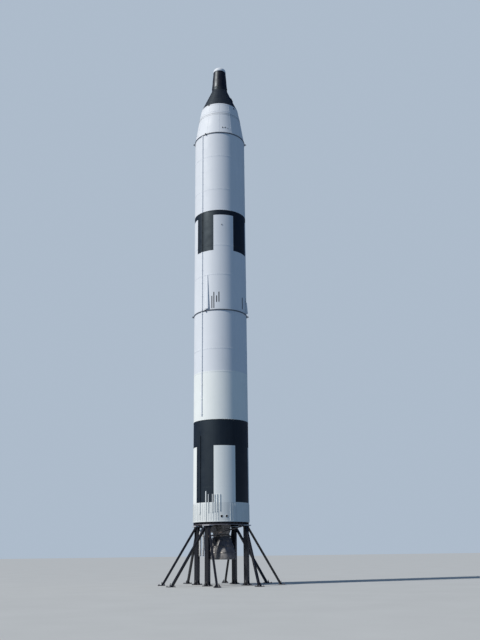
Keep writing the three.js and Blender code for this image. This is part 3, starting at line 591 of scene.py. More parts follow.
    def piece(self, name, slot, replaces=(), body=ROOT, smooth=35.0, cutters=(), on_hull=False):
        """Makes the piece, cut by other Builds in turn, and lets it ride on its body."""
        piece = self.object(name)
        for cutter in cutters:
            cut(piece, cutter)
        mesh = piece.data
        mesh.polygons.foreach_set("use_smooth", [True] * len(mesh.polygons))
        mesh.set_sharp_from_angle(angle=math.radians(smooth))
        if on_hull:
            round_normals(mesh)
        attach(piece, body)
        if replaces:
            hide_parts(*replaces)


def apply_modifiers(piece):
    bpy.context.view_layer.update()
    mesh = bpy.data.meshes.new_from_object(piece.evaluated_get(bpy.context.evaluated_depsgraph_get()))
    piece.modifiers.clear()
    piece.data = mesh


def cut(piece, cutter):
    tool = cutter.object("cutter")
    modifier = piece.modifiers.new("cut", "BOOLEAN")
    modifier.operation = "DIFFERENCE"
    modifier.solver = "EXACT"
    modifier.material_mode = "TRANSFER"
    modifier.object = tool
    apply_modifiers(piece)
    bpy.data.objects.remove(tool)


def round_normals(mesh):
    """Gives the faces that lie on the round skin the skin's own smooth normals."""
    normals = [corner.vector.copy() for corner in mesh.corner_normals]
    for face in mesh.polygons:
        outward = Vector((face.center.x, face.center.y, 0)).normalized()
        level = Vector((face.normal.x, face.normal.y, 0))
        if level.length < 0.5 or abs(level.normalized().dot(outward)) < 0.999:
            continue
        sign = 1 if level.dot(outward) > 0 else -1
        for loop in face.loop_indices:
            spot = mesh.vertices[mesh.loops[loop].vertex_index].co
            radial = Vector((spot.x, spot.y, 0)).normalized() * sign
            normals[loop] = (radial * level.length + Vector((0, 0, face.normal.z))).normalized()
    mesh.normals_split_custom_set(normals)


def rounded_rows(bottom, top, start, end, corner):
    """Rows of a curved plate with round corners."""
    rows = [(bottom + corner * (1 - math.cos(a)), corner * (1 - math.sin(a))) for a in arc(math.pi / 2, 5)]
    rows += [(top + bottom - z, inset) for z, inset in reversed(rows)]
    return [(z, start + degrees_across(inset, z), end - degrees_across(inset, z)) for z, inset in rows]


# Paint of the body
def livery(point):
    azimuth, height = math.degrees(math.atan2(point.x, -point.y)), point.z
    for band in (LOWER_BAND, UPPER_BAND):
        if band["panel_top"] < height < band["band_top"]:
            return "black"
        if band["panel_bottom"] < height < band["panel_top"] and panel_black(azimuth):
            return "black"
    if height < LOWER_BAND["panel_bottom"]:
        return "skirt"
    return "warm" if height < WARM_BELOW else "white"


def panel_black(azimuth):
    """The panel that starts at PANEL_EDGE is white, the next is black, and so on round the body."""
    return int(((azimuth - PANEL_EDGE) % 360) // PANEL_STEP) % 2 == 1


def painted_heights(bottom, top):
    return [bottom, *(z for z in PAINT_EDGES if bottom + 1e-3 < z < top - 1e-3), top]


# Barrel sections: skins whose edges are eased, so that the joints show as fine grooves
EDGE = {"drop": 0.004, "ease": 0.007}
JOINT_GAP = 0.0003


def section_profile(bottom, top, inner=0.0):
    """The outside of a section, and its inner wall or its axis."""
    outside = [(hull_radius(z), z) for z in painted_heights(bottom + EDGE["ease"], top - EDGE["ease"])]
    return [(inner, bottom), (hull_radius(bottom) - EDGE["drop"], bottom), *outside,
            (hull_radius(top) - EDGE["drop"], top), (inner, top)]


def make_section(node, paint, slot="white_paint", sides=BODY_SIDES, start=0.0, inner=0.0, cutters=()):
    build = Build(paint)
    build.turned(section_profile(low(node), high(node), inner), sides, start=start)
    build.piece("skin_" + node, slot, [node], cutters=cutters, on_hull=True)


def make_barrel():
    for node in ("stage1_between_tanks", "stage1_oxidizer_tank", "stage2_fuel_tank", "stage2_oxidizer_tank"):
        make_section(node, livery, start=PANEL_EDGE, inner=BARREL_INSIDE)


def make_fuel_tank():
    """The lowest tank, whose dome shows from below."""
    build = Build(lambda p: "inside" if p.z < skirt_top + 0.001 else livery(p))
    skirt_top = high("engine_skirt")
    bottom, top = low("stage1_fuel_tank"), high("stage1_fuel_tank")
    rim = SKIRT_INSIDE - 0.02
    depth = skirt_top - bottom
    dome = [(rim * math.sin(a), skirt_top - depth * math.cos(a)) for a in arc(math.pi / 2, 16)]
    build.turned([*dome, *section_profile(skirt_top + JOINT_GAP, top)[1:]], BODY_SIDES, start=PANEL_EDGE)
    build.piece("skin_stage1_fuel_tank", "warm_white_paint", ["stage1_fuel_tank"], on_hull=True)


def make_interstage():
    # The slots' walls and floors take the near-black finish: painted shade in the recesses.
    slots = Build("dark")
    for group, (offset, bottom, top) in itertools.product(SLOT_GROUP_AZIMUTHS, SLOTS):
        half = degrees_across(SLOT_WIDTH / 2, bottom)
        centre = group + offset
        rows = rounded_rows(bottom, top, centre - half, centre + half, SLOT_WIDTH / 2 - 0.001)
        slots.patch(rows, 0.05, -SLOT_DEPTH)
    make_section("interstage", livery, start=PANEL_EDGE, inner=BARREL_INSIDE, cutters=[slots])


def make_skirt():
    """The engine skirt: a thick shell with a ring frame inside, and two round ports."""
    inside = SKIRT_INSIDE
    ring = inside - SKIRT_RING["depth"]
    build = Build(lambda p: livery(p) if math.hypot(p.x, p.y) > inside + 0.01 else "inside")
    profile = section_profile(low("engine_skirt"), high("engine_skirt"), inside)
    profile += [(inside, SKIRT_RING["top"]), (ring, SKIRT_RING["top"]), (ring, SKIRT_RING["bottom"]),
                (inside, SKIRT_RING["bottom"])]
    build.turned(profile, BODY_SIDES, start=PANEL_EDGE)
    # The ports' walls take the near-black finish from the cutter: painted shade in the holes.
    holes, rims = Build("dark"), Build(livery)
    radius = PORT["radius"]
    for azimuth in PORT_AZIMUTHS:
        ends = (place(azimuth, r, PORT["height"]) for r in (inside - 0.05, BODY_RADIUS + 0.05))
        holes.rod(*ends, radius, 32)
        rim = [(0, -0.02), (0.02, -0.02), (0.02, 0.004), (0.012, 0.008), (0, 0.008)]
        rims.turned([(radius + out, z) for out, z in rim], 32, on_skin(azimuth, PORT["height"]))
    build.piece("skin_engine_skirt", "warm_white_paint", ["engine_skirt"], cutters=[holes], on_hull=True)
    rims.piece("port_rims", "warm_white_paint")


# Stringers and rivets of the skin. A deep rib: azimuth, bottom, top, width, depth
SKIRT_RIBS = {"count": 72, "bottom": 3.26, "top": 4.12, "width": 0.022, "depth": 0.012}
DEEP_RIBS = [
    (-48.2, 3.21, 4.78, 0.05, 0.028), (-42.4, 3.66, 4.62, 0.03, 0.036), (-33.9, 3.66, 4.62, 0.03, 0.036),
    (-29.6, 3.70, 4.62, 0.03, 0.036), (-24.4, 3.70, 4.62, 0.03, 0.032), (-18.6, 3.75, 4.62, 0.025, 0.028),
    (23.1, 3.40, 3.48, 0.06, 0.02)]
INNER_STRINGERS = {"count": 36, "bottom": 3.22, "top": 4.58, "width": 0.03, "depth": 0.03}
SEAMS = [8.57, 11.27, 12.6, 17.0, 18.8, 20.98, 22.4, 24.6]
STRAP = {"height": 0.07, "depth": 0.005}
RIVET_PITCH = 0.12


def make_skirt_ribs():
    ribs, stringers = Build(livery), Build("inside")
    rib = SKIRT_RIBS
    for i in range(rib["count"]):
        azimuth = (i + 0.5) * 360 / rib["count"]
        if all(abs(azimuth - port % 360) >= 4 for port in PORT_AZIMUTHS):
            ribs.strip(azimuth, (rib["bottom"], rib["top"]), rib["width"], rib["depth"])
    for azimuth, bottom, top, width, depth in DEEP_RIBS:
        ribs.strip(azimuth, (bottom, top), width, depth)
    ribs.hoop(low("engine_skirt") + 0.025, 0.05, 0.012)
    ribs.piece("skirt_ribs", "warm_white_paint")
    rib = INNER_STRINGERS
    radius = SKIRT_INSIDE - rib["depth"] / 2 + 0.002
    for here in ring_frames(rib["count"], radius, (rib["top"] + rib["bottom"]) / 2):
        stringers.box((rib["width"], rib["depth"], rib["top"] - rib["bottom"]), here)
    stringers.piece("skirt_stringers", "warm_white_paint")


def make_seams():
    straps, rivets = Build(livery), Build(livery)
    for height in SEAMS:
        straps.hoop(height, STRAP["height"], STRAP["depth"])
        for side in (-1, 1):
            rivets.rivet_ring(height + side * (STRAP["height"] / 2 - 0.015), STRAP["depth"])
    straps.piece("seam_straps", "white_paint")
    rivets.piece("seam_rivets", "white_paint")


# Raised covers
CLAMP = {"pitch": 0.75, "foot": 0.07, "height": 0.035, "thick": 0.012}


def cover_section(width, depth, ease=0.3):
    """A raised cover's section, flat on the skin and with its outer corners eased: across, out."""
    half, c = width / 2, depth * ease
    return [(-half, -0.03), (half, -0.03), (half, depth - c), (half - c * 0.3, depth - c * 0.3),
            (half - c, depth), (c - half, depth), (c * 0.3 - half, depth - c * 0.3), (-half, depth - c)]


def make_cover(node, azimuth, width, depth, tip_width, tip_depth):
    bottom, top = low(node), high(node)
    build = Build(livery)
    loops = []
    for z in painted_heights(bottom, top):
        t = (z - bottom) / (top - bottom)
        section = cover_section(width + (tip_width - width) * t, depth + (tip_depth - depth) * t)
        here = on_skin(azimuth, z)
        loops.append([here @ Vector((x, 0, out)) for x, out in section])
    build.loft(loops)
    build.piece("cover_" + node, "white_paint", [node])


def make_covers():
    clamps = Build(livery)
    for node, (azimuth, width, depth, *tip) in COVERS.items():
        make_cover(node, azimuth, width, depth, *(tip or (width, depth)))
        if tip:
            continue
        bottom, length = low(node), high(node) - low(node)
        count = int(length / CLAMP["pitch"])
        for i in range(count + 1):
            here = on_skin(azimuth, bottom + 0.1 + (length - 0.2) * i / count)
            clamps.box((width + CLAMP["foot"], CLAMP["height"], CLAMP["thick"]), here)
            bridge = (width + 0.008, CLAMP["height"], depth + CLAMP["thick"])
            clamps.box(bridge, here @ move(0, 0, depth / 2))
            for side in (-1, 1):
                foot = here @ move(side * (width + CLAMP["foot"] * 0.6) / 2, 0, CLAMP["thick"] / 2)
                clamps.bolt(foot, 0.008, 0.006)
    clamps.piece("conduit_clamps", "white_paint")


# Collars with lugs
def make_collars():
    half, hole = LUG["height"] / 2, LUG["hole"]
    root = BODY_RADIUS + 0.002
    eye = BODY_RADIUS + LUG["reach"] - 2 * hole
    outline = [(-root, -half), (-root, half)]
    outline += [(-(eye + 2 * hole * math.sin(a)), 2 * hole * math.cos(a)) for a in arc(math.pi, 10)]
    for node in ("mid_collar", "upper_collar"):
        middle = (low(node) + high(node)) / 2
        build, lugs, holes = Build("collar"), Build("collar"), Build("collar")
        build.hoop(middle, COLLAR["height"], COLLAR["depth"], sink=-JOINT_GAP, ease=0.004)
        for i in range(COLLAR["bolts"]):
            azimuth = (i + 0.5) * 360 / COLLAR["bolts"]
            build.bolt(on_skin(azimuth, middle, COLLAR["depth"] - 0.001), 0.014, 0.010)
        build.piece(node + "_band", "steel_black", [node])
        for azimuth in LUG_AZIMUTHS:
            turn = spin(azimuth)
            lugs.slab(outline, LUG["width"], turn @ move(-LUG["width"] / 2, 0, middle) @ FACING_X)
            holes.band(turn @ Vector((0, -eye, middle)), turn @ Vector((1, 0, 0)), 0.05, hole, 20)
        lugs.piece(node + "_lugs", "steel_black", cutters=[holes])


# Adapter and upper end. A thruster: azimuth, height, radius. A fitting: azimuth, height, width, length
THRUSTERS = [(-9.3, 26.555, 0.05), (-3.4, 26.566, 0.05), (2.7, 26.525, 0.03)]
FITTINGS = [(-51.2, 28.40, 0.10, 0.07), (31.4, 28.26, 0.09, 0.07), (-12.9, 20.07, 0.05, 0.05),
            (39.3, 15.4, 0.03, 0.7)]
ADAPTER_STRAPS = {"count": 12, "first": 12, "width": 0.036, "depth": 0.004}
SMALL_THRUSTER = [(0, -0.01), (0.040, -0.01), (0.040, 0.006), (0.030, 0.008), (0.026, 0.002), (0, 0.002)]
ROUND_SIDES = 96


def make_adapter():
    for node in ("equipment_section", "retro_section"):
        make_section(node, "white")


def make_adapter_details():
    build, jets = Build("white"), Build("white")
    bottom, seam, top = low("equipment_section"), low("retro_section"), high("retro_section")
    for z, height, depth in ((bottom + 0.03, 0.05, 0.006), (seam, 0.05, 0.005), (top - 0.08, 0.06, 0.004)):
        build.hoop(z, height, depth)
        build.rivet_ring(z, depth)
    strap = ADAPTER_STRAPS
    for i in range(strap["count"]):
        azimuth = 360 / strap["count"] * i + strap["first"]
        for z1, z2 in ((bottom + 0.056, seam - 0.186), (seam + 0.026, top - 0.111)):
            build.strip(azimuth, (z1, z2), strap["width"], strap["depth"])
            for k in range(int((z2 - z1) / RIVET_PITCH)):
                build.rivet(on_skin(azimuth, z1 + RIVET_PITCH * (k + 0.5), strap["depth"]), 0.008)
    for z, height in ((seam - 0.165, 0.018), (seam - 0.26, 0.008)):
        build.hoop(z, height, 0.005, paint="line")
    build.piece("adapter_straps", "white_paint")
    for turn, (azimuth, z, r) in itertools.product(range(4), THRUSTERS):
        here = on_skin(azimuth + 90 * turn, z)
        jets.turned([(0, -0.01), (r * 1.5, -0.01), (r * 1.5, 0.004), (r * 1.15, 0.008), (r * 0.98, 0.008),
                     (r * 0.9, 0.003), (0, 0.003)], 28, here)
        # Each throat is a near-black disc set in the nozzle: painted shade in its hollow.
        throat = [(0, 0), (r * 0.88, 0), (r * 0.88, 0.006), (r * 0.5, 0.0045), (0, 0.0045)]
        jets.turned(throat, 28, here, "dark")
    for azimuth, z, width, height in FITTINGS:
        jets.box((width, height, 0.03), on_skin(azimuth, z, 0.008), 0.005, "dark")
    jets.piece("adapter_thrusters", "white_paint")


def make_nose():
    build = Build("white")
    bottom, top = low("nose_cap"), high("nose_cap")
    shoulder = bottom + 0.09
    r, rise = NOSE_RADIUS, top - shoulder
    dome = [(r * math.cos(a), shoulder + rise * math.sin(a)) for a in arc(math.pi / 2, 12)]
    build.turned([(0, bottom), (r - 0.01, bottom), (r, bottom + 0.01), *dome[:-1], (0, top)], ROUND_SIDES)
    build.piece("nose_dome", "white_paint", ["nose_cap"])
    make_section("control_section", "cabin", "cabin_black", ROUND_SIDES)
    make_section("recovery_section", "shingle", "cabin_black", ROUND_SIDES)


def make_upper_details():
    """Thruster nozzles of the control section, seams of the recovery section and the rim under the nose."""
    build = Build("shingle")
    bottom, shoulder, top = low("control_section"), high("control_section"), high("recovery_section")
    for z, height, depth in ((bottom + 0.02, 0.03, 0.006), (shoulder, 0.03, 0.006),
                             (shoulder + 0.56, 0.02, 0.004), (top - 0.03, 0.05, 0.007)):
        build.hoop(z, height, depth)
    for i in range(8):
        for azimuth, z1, z2 in ((3.5, shoulder + 0.02, shoulder + 0.54), (26, shoulder + 0.58, top - 0.06)):
            build.patch([(z, 45 * i + azimuth - 1.4, 45 * i + azimuth + 1.4) for z in (z1, z2)], 0.004)
        for z in (bottom + 0.10, bottom + 0.23):
            build.turned(SMALL_THRUSTER, 24, on_skin(45 * i + 14, z), "steel")
    build.piece("upper_seams", "cabin_black")


# Cabin
RIDGE = {"width": 0.012, "seam": 0.010, "depth": 0.004}
SHINGLE_COLUMNS = 24


def hatch_span(sign, inner, outer):
    return sorted((HATCH_AZIMUTH + sign * inner, HATCH_AZIMUTH + sign * outer))


def hinge_point(sign, height):
    return on_skin(HATCH_AZIMUTH + sign * HATCH["outer"], height, HINGE["stand"]).translation


def plate_on_cone(build, sign, inner, outer, bottom, top, lift, sink=0.01, columns=2, paint=None):
    span = hatch_span(sign, inner, outer)
    build.patch([(bottom, *span), (top, *span)], lift, -sink, columns, paint)


def make_cabin():
    """The cone, cut by its cavity and then by the openings of the hatches."""
    node = "cabin_shell"
    bottom, top = low(node), high(node)
    floor, ceiling = bottom + CABIN_FLOOR, top - CABIN_FLOOR
    wall = CABIN_WALL / math.cos(hull_lean(floor))
    build, cavity, openings = Build("cabin"), Build("inside"), Build("inside")
    build.turned(section_profile(bottom, top), BODY_SIDES)
    cavity.turned([(0, floor), (hull_radius(floor) - wall, floor), (hull_radius(ceiling) - wall, ceiling),
                   (0, ceiling)], BODY_SIDES)
    for _, sign in HATCH_SIDES:
        span = hatch_span(sign, HATCH["inner"], HATCH["outer"])
        openings.patch(rounded_rows(HATCH["bottom"], HATCH["top"], *span, HATCH["corner"]), 0.06, -0.1, 16)
    build.piece("cabin_cone", "cabin_black", [node], cutters=[cavity, openings], on_hull=True)


def make_hatch_details(side, sign, shell):
    """A hatch's hinge, ridges, handle and window rim. The hinge's fixed half goes to the shell."""
    body = f"hatch_{side}_body"
    middle, half, edge = (HATCH["bottom"] + HATCH["top"]) / 2, HINGE["length"] / 2, HATCH["outer"]
    for end in (middle - half, middle + half):
        z1, z2 = end - HINGE["lug"] / 2, end + HINGE["lug"] / 2
        shell.rod(hinge_point(sign, z1), hinge_point(sign, z2), HINGE["knuckle"], 20)
        plate_on_cone(shell, sign, edge, edge + 2, z1, z2, HINGE["stand"], CABIN_WALL / 2)
        plate_on_cone(shell, sign, edge + 1, edge + 6, z1 - 0.01, z2 + 0.01, 0.008)
        for azimuth in (3.4, 5.0):
            shell.bolt(on_skin(HATCH_AZIMUTH + sign * (edge + azimuth), end, 0.008), 0.008, 0.006)
    ends = (hinge_point(sign, z) for z in (middle - half, middle + half))
    shell.rod(*ends, HINGE["pin"], 16, paint="bright")
    hatch, rim, hole = Build("cabin"), Build("cabin"), Build("cabin")
    reach = half - HINGE["lug"] / 2 - 0.008
    z1, z2 = middle - reach, middle + reach
    gap = degrees_across(HATCH["gap"], HATCH["top"])
    start, end = hinge_point(sign, z1), hinge_point(sign, z2)
    length = (end - start).length
    hatch.turned([(0.013, 0), (HINGE["knuckle"], 0), (HINGE["knuckle"], length), (0.013, length)], 20,
                 along(start, end))
    plate_on_cone(hatch, sign, edge - gap - 3, edge - gap * 1.9, z1, z2, HINGE["stand"] - 0.004)
    plate_on_cone(hatch, sign, edge - gap - 8, edge - gap - 2.9, z1, z2, 0.007)
    for z in (z1 + 0.02, middle, z2 - 0.02):
        hatch.bolt(on_skin(HATCH_AZIMUTH + sign * (edge - gap - 6), z, 0.007), 0.008, 0.006)
    for rise in (0.09, 0.21, 0.33, 0.45):
        z = HATCH["bottom"] + rise
        plate_on_cone(hatch, sign, HATCH["inner"] + 6, edge - 12, z, z + RIDGE["width"], RIDGE["depth"])
    grip = HATCH["inner"] + 2.4
    plate_on_cone(hatch, sign, grip, grip + 1, middle - 0.09, middle + 0.09, 0.012, columns=1,
                  paint="bright")
    pane = hatch_span(sign, WINDOW["inner"] + 0.2, WINDOW["outer"] - 0.2)
    rows = rounded_rows(WINDOW["bottom"] + 0.003, WINDOW["top"] - 0.003, *pane, WINDOW["corner"])
    hole.patch(rows, 0.06, -0.1, 12)
    outer = hatch_span(sign, WINDOW["inner"] - 1.5, WINDOW["outer"] + 1.5)
    rim.patch(rounded_rows(WINDOW["bottom"] - 0.026, WINDOW["top"] + 0.026, *outer, 0.08), 0.006, -0.012, 16)
    rim.piece(f"hatch_{side}_window_rim", "cabin_black", body=body, cutters=[hole], on_hull=True)
    hatch.piece(f"hatch_{side}_fittings", "cabin_black", body=body)


def make_cabin_details():
    """Hatch details, and the ridges of the shingles round the cone."""
    shell = Build("cabin")
    for side, sign in HATCH_SIDES:
        make_hatch_details(side, sign, shell)
    foot, shoulder = low("cabin_shell"), high("cabin_shell")
    below, above = HATCH["bottom"] - 0.06, HATCH["top"] + 0.06
    for z in (foot + 0.02, below, above, above + 0.16):
        shell.hoop(z, RIDGE["width"], RIDGE["depth"], paint="shingle")
    for k in range(1, 5):
        z = below + (above - below) * k / 5
        rows = [(z + edge, HATCH_AZIMUTH + 49, HATCH_AZIMUTH + 311) for edge in (-0.006, 0.006)]
        shell.patch(rows, RIDGE["depth"], columns=60)
    for i in range(SHINGLE_COLUMNS):
        azimuth = (i + 0.5) * 360 / SHINGLE_COLUMNS
        beside_hatch = math.cos(math.radians(azimuth - HATCH_AZIMUTH)) > math.cos(math.radians(50))
        for z1, z2 in ((foot + 0.03, below), (below, above), (above, shoulder - 0.02)):
            if z1 != below or not beside_hatch:
                shell.strip(azimuth, (z1 + 0.008, z2 - 0.008), RIDGE["seam"], RIDGE["depth"])
    shell.piece("cabin_fittings", "cabin_black")


def make_hatches():
    gap, sink = HATCH["gap"], CABIN_WALL / 3
    for side, sign in HATCH_SIDES:
        body = f"hatch_{side}_body"
        degrees = degrees_across(gap, HATCH["top"])
        span = hatch_span(sign, HATCH["inner"] + degrees, HATCH["outer"] - degrees)
        rows = rounded_rows(HATCH["bottom"] + gap, HATCH["top"] - gap, *span, HATCH["corner"] - gap)
        pane = hatch_span(sign, WINDOW["inner"], WINDOW["outer"])
        pane_rows = rounded_rows(WINDOW["bottom"], WINDOW["top"], *pane, WINDOW["corner"])
        hole, panel, window = Build("inside"), Build("cabin"), Build("glass")
        hole.patch(pane_rows, 0.06, -0.1, 12)
        panel.patch(rows, 0, -CABIN_WALL, 24)
        panel.piece(f"hatch_{side}_panel", "cabin_black", [f"hatch_{side}"], body, cutters=[hole],
                    on_hull=True)
        window.patch(pane_rows, -sink, -sink - 0.012, 12)
        window.piece(f"hatch_{side}_pane", "window_glass", [f"hatch_window_{side}"], body, on_hull=True)


# Seats: pans of metal with stuffed covers, whose backs lie on the floor
SEAT = {"y": 0.27, "width": 0.40, "back": 0.66, "squab_x": -0.33, "squab_z": 0.33, "squab": 0.26}
PAD = {"voxel": 0.012, "pressure": 4.0, "frames": 20, "cap": 0.010}


def cushion(name, centre, size):
    """A pad blown up by a cloth simulation, as far as a cap allows."""
    build = Build("seat")
    build.box(size, Matrix.Translation(centre), 0.45 * min(size))
    pad = build.object(name)
    bpy.context.view_layer.objects.active = pad
    remesh = pad.modifiers.new("remesh", "REMESH")
    remesh.mode = "VOXEL"
    remesh.voxel_size = PAD["voxel"]
    apply_modifiers(pad)
    before = [vertex.co.copy() for vertex in pad.data.vertices]
    cloth = pad.modifiers.new("cloth", "CLOTH")
    cloth.settings.use_pressure = True
    cloth.settings.uniform_pressure_force = PAD["pressure"]
    cloth.settings.effector_weights.gravity = 0
    for step in range(1, PAD["frames"] + 1):
        bpy.context.scene.frame_set(step)
    apply_modifiers(pad)
    for vertex, start in zip(pad.data.vertices, before):
        travel = vertex.co - start
        if travel.length > PAD["cap"]:
            vertex.co = start + travel.normalized() * PAD["cap"]
    bpy.context.scene.frame_set(1)
    pad.modifiers.new("smooth", "SUBSURF").levels = 1
    apply_modifiers(pad)
    pad.data.materials.clear()
    pad.data.materials.append(MATERIALS["seat"])
    pad.data.polygons.foreach_set("use_smooth", [True] * len(pad.data.polygons))
    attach(pad, ROOT)


def rounded_loop(middle, half_length, half_width, corner=0.03):
    """Points round a rectangle with round corners, a little short of closing on themselves."""
    points = []
    for k, (u, v) in enumerate(((1, 1), (-1, 1), (-1, -1), (1, -1))):
        points += [(middle + u * (half_length - corner) + corner * math.cos(k * math.pi / 2 + a),
                    v * (half_width - corner) + corner * math.sin(k * math.pi / 2 + a))
                   for a in arc(math.pi / 2, 5)]
    return points + [(points[0][0], points[0][1] - 0.012)]


def make_seats():
    floor, width = low("crew_seats"), SEAT["width"]
    pans, piping = Build("inside"), Build("steel")
    pans.box((0.76, 1.0, 0.06), move(0, 0, floor + 0.03), 0.01)
    for i, side in enumerate((-1, 1)):
        y = side * SEAT["y"]
        pans.box((0.72, width + 0.04, 0.05), move(0, y, floor + 0.085), 0.015)
        back = move(SEAT["squab_x"] - 0.035, y, floor + SEAT["squab_z"] - 0.03)
        pans.box((0.03, width + 0.04, 0.34), back, 0.012)
        for edge in (-1, 1):
            route = [(-0.36, 0.2, 0.42), (-0.33, 0.21, 0.2), (-0.2, 0.21, 0.13), (0.35, 0.21, 0.12)]
            route = [(x, y + edge * across, floor + rise) for x, across, rise in route]
            pans.tube(smooth_path(route, 5), 0.012, 10, paint="steel")
            pans.box((0.5, 0.045, 0.004), move(0.02, y + edge * 0.09, floor + 0.196), 0.001, "steel")
        pans.box((0.06, 0.07, 0.014), move(-0.12, y, floor + 0.20), 0.004, "bright")
        cushion(f"seat_back_pad_{i + 1}", (0.01, y, floor + 0.148), (SEAT["back"], width - 0.02, 0.072))
        cushion(f"seat_squab_pad_{i + 1}", (-0.32, y, floor + SEAT["squab_z"]),
                (0.05, width - 0.02, SEAT["squab"]))
        half = width / 2 - 0.008
        lying = rounded_loop(0.01, SEAT["back"] / 2 + 0.002, half)
        upright = rounded_loop(floor + SEAT["squab_z"], SEAT["squab"] / 2 + 0.002, half)
        piping.tube([(x, y + across, floor + 0.150) for x, across in lying], 0.005, 8)
        piping.tube([(-0.322, y + across, z) for z, across in upright], 0.005, 8)
        for x in (-0.16, 0.01, 0.18):
            piping.tube([(x, y + t * half, floor + 0.192 - 0.006 * t ** 2)
                         for t in (-0.9, -0.6, -0.3, 0, 0.3, 0.6, 0.9)], 0.003, 8)
    pans.piece("seat_pans", "seat_grey", ["crew_seats"])
    piping.piece("seat_piping", "seat_grey", smooth=50)


# Engine: it is laid out with its chambers on X, as it was drawn, and then turned onto Y
ENGINE = Matrix.Rotation(math.pi / 2, 4, "Z")
ENGINE_SIDES = ((-1, 1), (1, 2))
GIMBAL_LOW, GIMBAL_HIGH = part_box("gimbal_cross_2")
CHAMBER_X = (GIMBAL_LOW.y + GIMBAL_HIGH.y) / 2
GIMBAL_Z = (GIMBAL_LOW.z + GIMBAL_HIGH.z) / 2
BELL_EXIT_Z = low("thrust_chamber_1")
BELL = {"mouth": 0.560, "neck": 0.222, "length": 1.19, "power": 1.885, "wall": 0.022, "tubes": 96,
        "flute": 0.006}
BELL_BANDS = [(0.0, 0.07, 0.026), (0.33, 0.37, 0.016), (0.65, 0.69, 0.016), (0.93, 0.96, 0.012)]
CHAMBER_HEAD = [(0.222, 1.26), (0.29, 1.45), (0.29, 1.79), (0.35, 1.80), (0.35, 1.88), (0.255, 2.0),
                (0.12, 2.06)]
CHAMBER_FLOOR, CHAMBER_SHOULDER, CHAMBER_TOP = 1.25, 1.79, 2.06
EAR = {"near": 0.082, "far": 0.112, "half": 0.046, "base": 3.337}
INLET = {"offset": 0.24, "radius": 0.05, "bottom": 3.17, "top": 3.44}
ACTUATOR = {"reach": 0.42, "top": 3.96, "eye": 3.25, "lug_root": 0.13, "lug_end": 0.08, "lug": 0.03}
PUMP = {"x": 0.47, "y": 0.64, "z": 2.85, "arm_z": 3.78, "back": 0.1653}
PUMP_PROFILE = [
    (0, -0.26), (0.07, -0.26), (0.08, -0.25), (0.15, -0.25), (0.165, -0.235), (0.165, -0.19),
    (0.175, -0.185), (0.175, -0.165), (0.165, -0.16), (0.165, -0.08), (0.155, -0.07), (0.11, -0.065),
    (0.105, -0.02), (0.112, -0.015), (0.112, 0.015), (0.105, 0.02), (0.105, 0.068), (0.17, 0.07),
    (0.19, 0.085), (0.19, 0.125), (0.17, 0.14), (0.125, 0.142), (0.12, 0.175), (0.155, 0.18),
    (0.17, 0.195), (0.17, 0.235), (0.155, 0.25), (0.06, 0.25), (0.05, 0.262), (0, 0.262)]
PUMP_BOLTS = [(-0.18, 0.172, 16, spin(90, "X")), (0.142, 0.155, 16, Matrix()), (0.25, 0.13, 12, Matrix()),
              (-0.25, 0.12, 12, MIRROR_Z)]
SUCTION = {"radius": 0.07, "offset": 0.009, "flanges": (3.055, 4.055), "bellows": 3.30}
DISCHARGE = {"radius": 0.046, "gap": 0.035, "sleeve_inner": 0.078, "sleeve_outer": 0.092}
DISCHARGE_RISE = [(0.215, 0, 0), (0.225, -0.005, 0.26), (0.235, -0.06, 0.56)]
DISCHARGE_FALL = [(-0.006, 0.19, 0.23), (0, 0.04, 0.215), (0, 0, 0.11), (0, 0, 0.014)]
EXHAUST = {"radius": 0.062, "x": 0.285, "y": 1.095}
EXHAUST_ROUTE = [(0, -0.06, -0.05), (0.01, 0, -0.2), (0.06, -0.01, -0.45), (0.07, -0.015, -0.8),
                 (0.02, 0, -1.15), (0.02, 0, -1.37)]
BEAM = {"bottom": 3.70, "top": 3.86, "landing": 3.83, "half": 0.10, "overhang": 0.20}
FRAME_PAD = {"azimuths": [45, 135, 225, 315], "radius": 1.42, "size": (0.16, 0.11, 0.04)}
STRUTS = [(0.38, 0.055), (0.12, 0.045)]


def bell_radius(height):
    """Outside radius of the bell at a height above its exit."""
    return BELL["mouth"] - (BELL["mouth"] - BELL["neck"]) * (height / BELL["length"]) ** BELL["power"]


def bell_band(build, bottom, top, depth, at):
    """A band round the bell, clamped by pairs of small lugs."""
    inner = BELL["wall"] / 2
    r1, r2 = bell_radius(bottom), bell_radius(top)
    build.turned([(r1 - inner, bottom), (r1 + depth * 0.7, bottom), (r1 + depth, bottom + 0.006),
                  (r2 + depth, top - 0.006), (r2 + depth * 0.7, top), (r2 - inner, top)], 96, at)
    for here in ring_frames(12, (r1 + r2) / 2 + depth, (bottom + top) / 2, at, 15):
        build.box((0.03, 0.016, (top - bottom) * 0.7), here, 0.003)


def actuator_ways(side):
    """The ways from a chamber's axis to its two actuators."""
    return {"yaw": Vector((side, 0, 0)), "pitch": Vector((0, -1, 0))}


